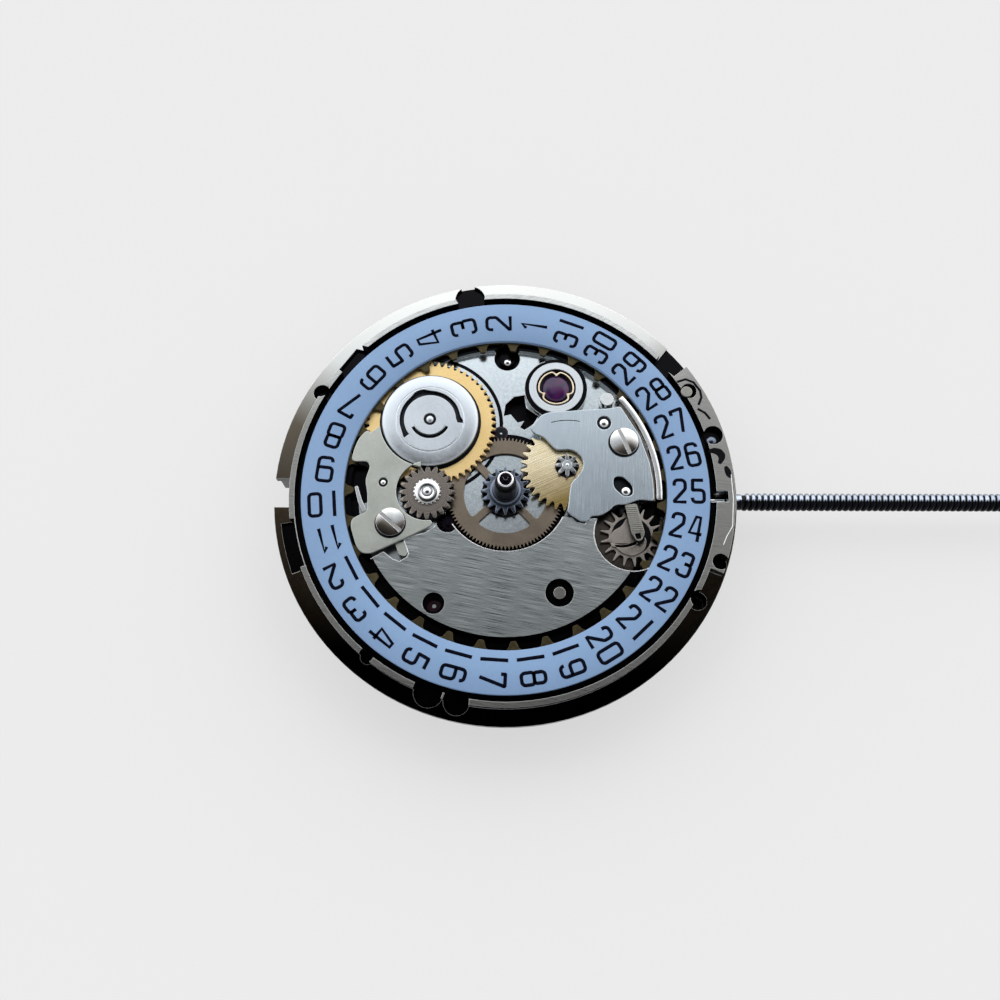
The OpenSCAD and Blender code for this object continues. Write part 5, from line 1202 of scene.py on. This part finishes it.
# profiles of the block, the cup painted black as shade, and the stone; the spring's two radii, how deep and how wide
# its lobes are, and their places
shock = {"ring": ([(1.56, -0.85), (1.56, -0.37), (1.54, -0.352), (1.16, -0.352), (1.14, -0.37), (1.13, -0.60),
                   (1.13, -0.85)], shockAt, 96),
         "cup": ([(1.14, -0.44), (1.10, -0.56), (0.95, -0.62), (0.14, -0.64), (0.14, -0.85), (1.14, -0.85)],
                 shockAt, 96),
         "stone": ([(0, -0.44), (0.35, -0.45), (0.62, -0.48), (0.76, -0.53), (0.80, -0.58), (0.80, -0.63),
                    (0, -0.63)], shockAt),
         "sides": ((1.04, 0.16), (0.95, 0.24)), "lobe": 9.0, "lobesAt": (88, 208, 328), "levels": (-0.45, -0.40, 0.018)}


def makeShock(s):
    def dip(a):
        near = min(abs((a - t + 180) % 360 - 180) for t in s["lobesAt"])
        return math.exp(-(near / s["lobe"]) ** 2)

    # flat lyre spring: a ring with three lobes bent in over the stone
    spring = plate([[polar(r - deep * dip(a), a, shockAt) for a in range(0, 360, 3)] for r, deep in s["sides"]],
                   *s["levels"])
    addPieces("frame", ("shock_ring", closedLathe(*s["ring"]), "turned_shock", "bright_steel", "shock_block_front"),
              ("shock_cup_shade", closedLathe(*s["cup"]), "black_steel", "bright_steel"),
              ("shock_stone", lathe(*s["stone"]), "purple_jewel", "ruby", "cap_jewel_front"),
              ("shock_spring", spring, "spring_gold", "gilt_brass", "shock_spring_front"))


makeShock(shock)


def makeThreadTree():
    # a helix swept with a rounded tooth
    tree, given, end = newShapeTree("stemThread", {"Turns": 50.0, "Height": 17.0, "Radius": 0.46, "Tooth Width": 0.2,
                                                   "Tooth Height": 0.12})
    helix = node(tree, "GeometryNodeCurveSpiral", {
        "Resolution": 26, "Rotations": given["Turns"], "Height": given["Height"], "Start Radius": given["Radius"],
        "End Radius": given["Radius"]})
    upright = node(tree, "GeometryNodeSetCurveNormal", {0: helix.outputs[0]}, mode="Z_UP")
    tooth = node(tree, "GeometryNodeCurvePrimitiveCircle", {"Resolution": 8, "Radius": 1.0})
    squash = node(tree, "GeometryNodeTransform", {
        "Geometry": tooth.outputs["Curve"], "Scale": combined(tree, given["Tooth Height"], given["Tooth Width"], 1)})
    swept = node(tree, "GeometryNodeCurveToMesh", {"Curve": upright.outputs[0], "Profile Curve": squash.outputs[0],
                                                   "Fill Caps": True})
    return endTree(tree, swept.outputs[0], given, end)


stemSizes = {"axis": -2.5, "neck": 13.0, "thread": 13.65, "end": 31.58, "crest": 0.522, "core": 0.40, "pitch": 0.345,
             "runIn": 0.1, "tooth": 0.34,
             "foot": [(0, 4.6), (0.26, 4.6), (0.3, 4.66), (0.3, 5.65), (0.36, 5.70), (0.36, 7.9), (0.5, 7.95),
                      (0.5, 9.7), (0.6, 9.72), (0.6, 9.98), (0.35, 10.0), (0.35, 10.4), (0.6, 10.42)]}


def makeStem(s):
    neck, start, end, core, crest = s["neck"], s["thread"], s["end"], s["core"], s["crest"]
    long = end - start - 2 * s["runIn"]
    thread = runTree(makeThreadTree(), bpy.data.meshes.new("empty"), {
        "Turns": long / s["pitch"], "Height": long, "Radius": (crest + core) / 2,
        "Tooth Width": s["pitch"] * s["tooth"], "Tooth Height": (crest - core) / 2,
        "Material": finishes["thread_steel"]})
    moved(thread, 0, 0, start + s["runIn"])
    shank = lathe(s["foot"] + [(0.6, neck - 0.3), (0.56, neck - 0.1), (0.475, neck), (0.47, start - 0.05),
                               (core, start), (0, start)], (0, 0), 40)
    # the thread's root between the crests, painted black as shade
    root = lathe([(0, start - 0.02), (core, start - 0.01), (core, end - 0.06), (core - 0.06, end), (0, end)],
                 (0, 0), 40)
    for mesh in (thread, shank, root):
        layDown(mesh, 0, 0, s["axis"])
    stem = together(softened(thread, "bead"), shank)
    addPieces("winding_stem", ("stem_with_thread", stem, "thread_steel", "bright_steel", "winding_stem"),
              ("stem_thread_root_shade", root, "black_steel", "bright_steel"))


makeStem(stemSizes)
print("stem made")

# solids of the pack that are shown as they are, by finish
kept = {
    "rhodium_plate": ["mainplate"],
    "back_satin": ["barrel_bridge", "train_bridge", "balance_cock", "automatic_bridge", "pallet_bridge"],
    "bright_steel": ["winding_pinion", "sliding_pinion", "barrel_arbor", "bridge_screws", "escape_wheel", "pallet_fork",
                     "balance_staff", "regulator", "shock_block_back", "ratchet_wheel", "crown_wheel", "click",
                     "click_spring", "automatic_screws", "rotor_bearing", "rotor_screw", "reversing_wheel_a",
                     "reversing_wheel_b"],
    "keeper_grey": ["lever_jumper", "setting_lever", "yoke"],
    "gilt_brass": ["barrel_drum", "barrel_cover", "balance_wheel"],
    "blued_steel": ["hairspring"],
    "dark_wheel": ["mainspring"],
    "ruby": ["plate_jewels", "bridge_jewels", "pallet_stones", "cap_jewel_back"],
    "rotor_gold": ["rotor_plate"],
    "heavy_metal": ["rotor_rim"],
}
for finish, names in kept.items():
    for name in names:
        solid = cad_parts[name]
        for slot in solid.material_slots:
            slot.material = finishes[finish]
        if not solid.material_slots:
            solid.data.materials.append(finishes[finish])

# gilt wheels on steel arbors: the arbor's reach from its axis, and the level from which it stands in the shade
arborWheels = {"intermediate_wheel": (0.9, 1), "third_wheel": (0.75, -1.1), "seconds_wheel": (0.7, 0.5),
               "reduction_wheel": (0.8, 1)}
arborFinish = {"gilt": ((0.66, 0.50, 0.25), (0.83, 0.67, 0.40)), "steel": ((0.42, 0.43, 0.45), (0.62, 0.63, 0.65)),
               "shade": (0.008, 0.006, 0.010), "edge": (0.95, 0.90, 0.80), "polishAndHighlight": 0.5, "rough": (0.20, 0.34),
               "pitch": 0.00005, "edgeRadius": 0.00003, "bump": 0.1}


def makeArborMaterial(name, centre, reach, shadeFrom, f):
    # gilt and steel are told apart by the distance from the axis
    material, tree, shader, where = startMaterial(name + "_metal")
    away = vectors("DISTANCE", vectors("MULTIPLY", where, (1, 1, 0)), (centre.x, centre.y, 0))
    rings = place(tree, turning, Vector=where, Centre=centre, Pitch=f["pitch"]).outputs
    edges = place(tree, edgeWearAndHighlight, Radius=f["edgeRadius"]).outputs
    onArbor = maths("LESS_THAN", away, reach * mm)
    inShade = maths("GREATER_THAN", apart(where)[2], shadeFrom * mm)
    body = blend(onArbor, tinted(rings["Mask"], *f["gilt"]), tinted(rings["Mask"], *f["steel"]))
    # the edges are brightened towards a pale tone, polish with a painted highlight, except in the painted shade
    polishAndHighlight = times(times(edges["Mask"], f["polishAndHighlight"]), minus(1.0, inShade))
    feed(shader, {"Base Color": blend(polishAndHighlight, blend(inShade, body, f["shade"]), f["edge"]),
                  "Roughness": spread(rings["Mask"], *f["rough"])})
    addRelief(shader, f["bump"], rings["Height"], edges["Normal"])
    return material


for name, (reach, shadeFrom) in arborWheels.items():
    low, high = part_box(name)
    wheelMetal = makeArborMaterial(name, (Vector(low) + Vector(high)) / 2, reach, shadeFrom, arborFinish)
    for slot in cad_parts[name].material_slots:
        slot.material = wheelMetal
print("kept solids finished")
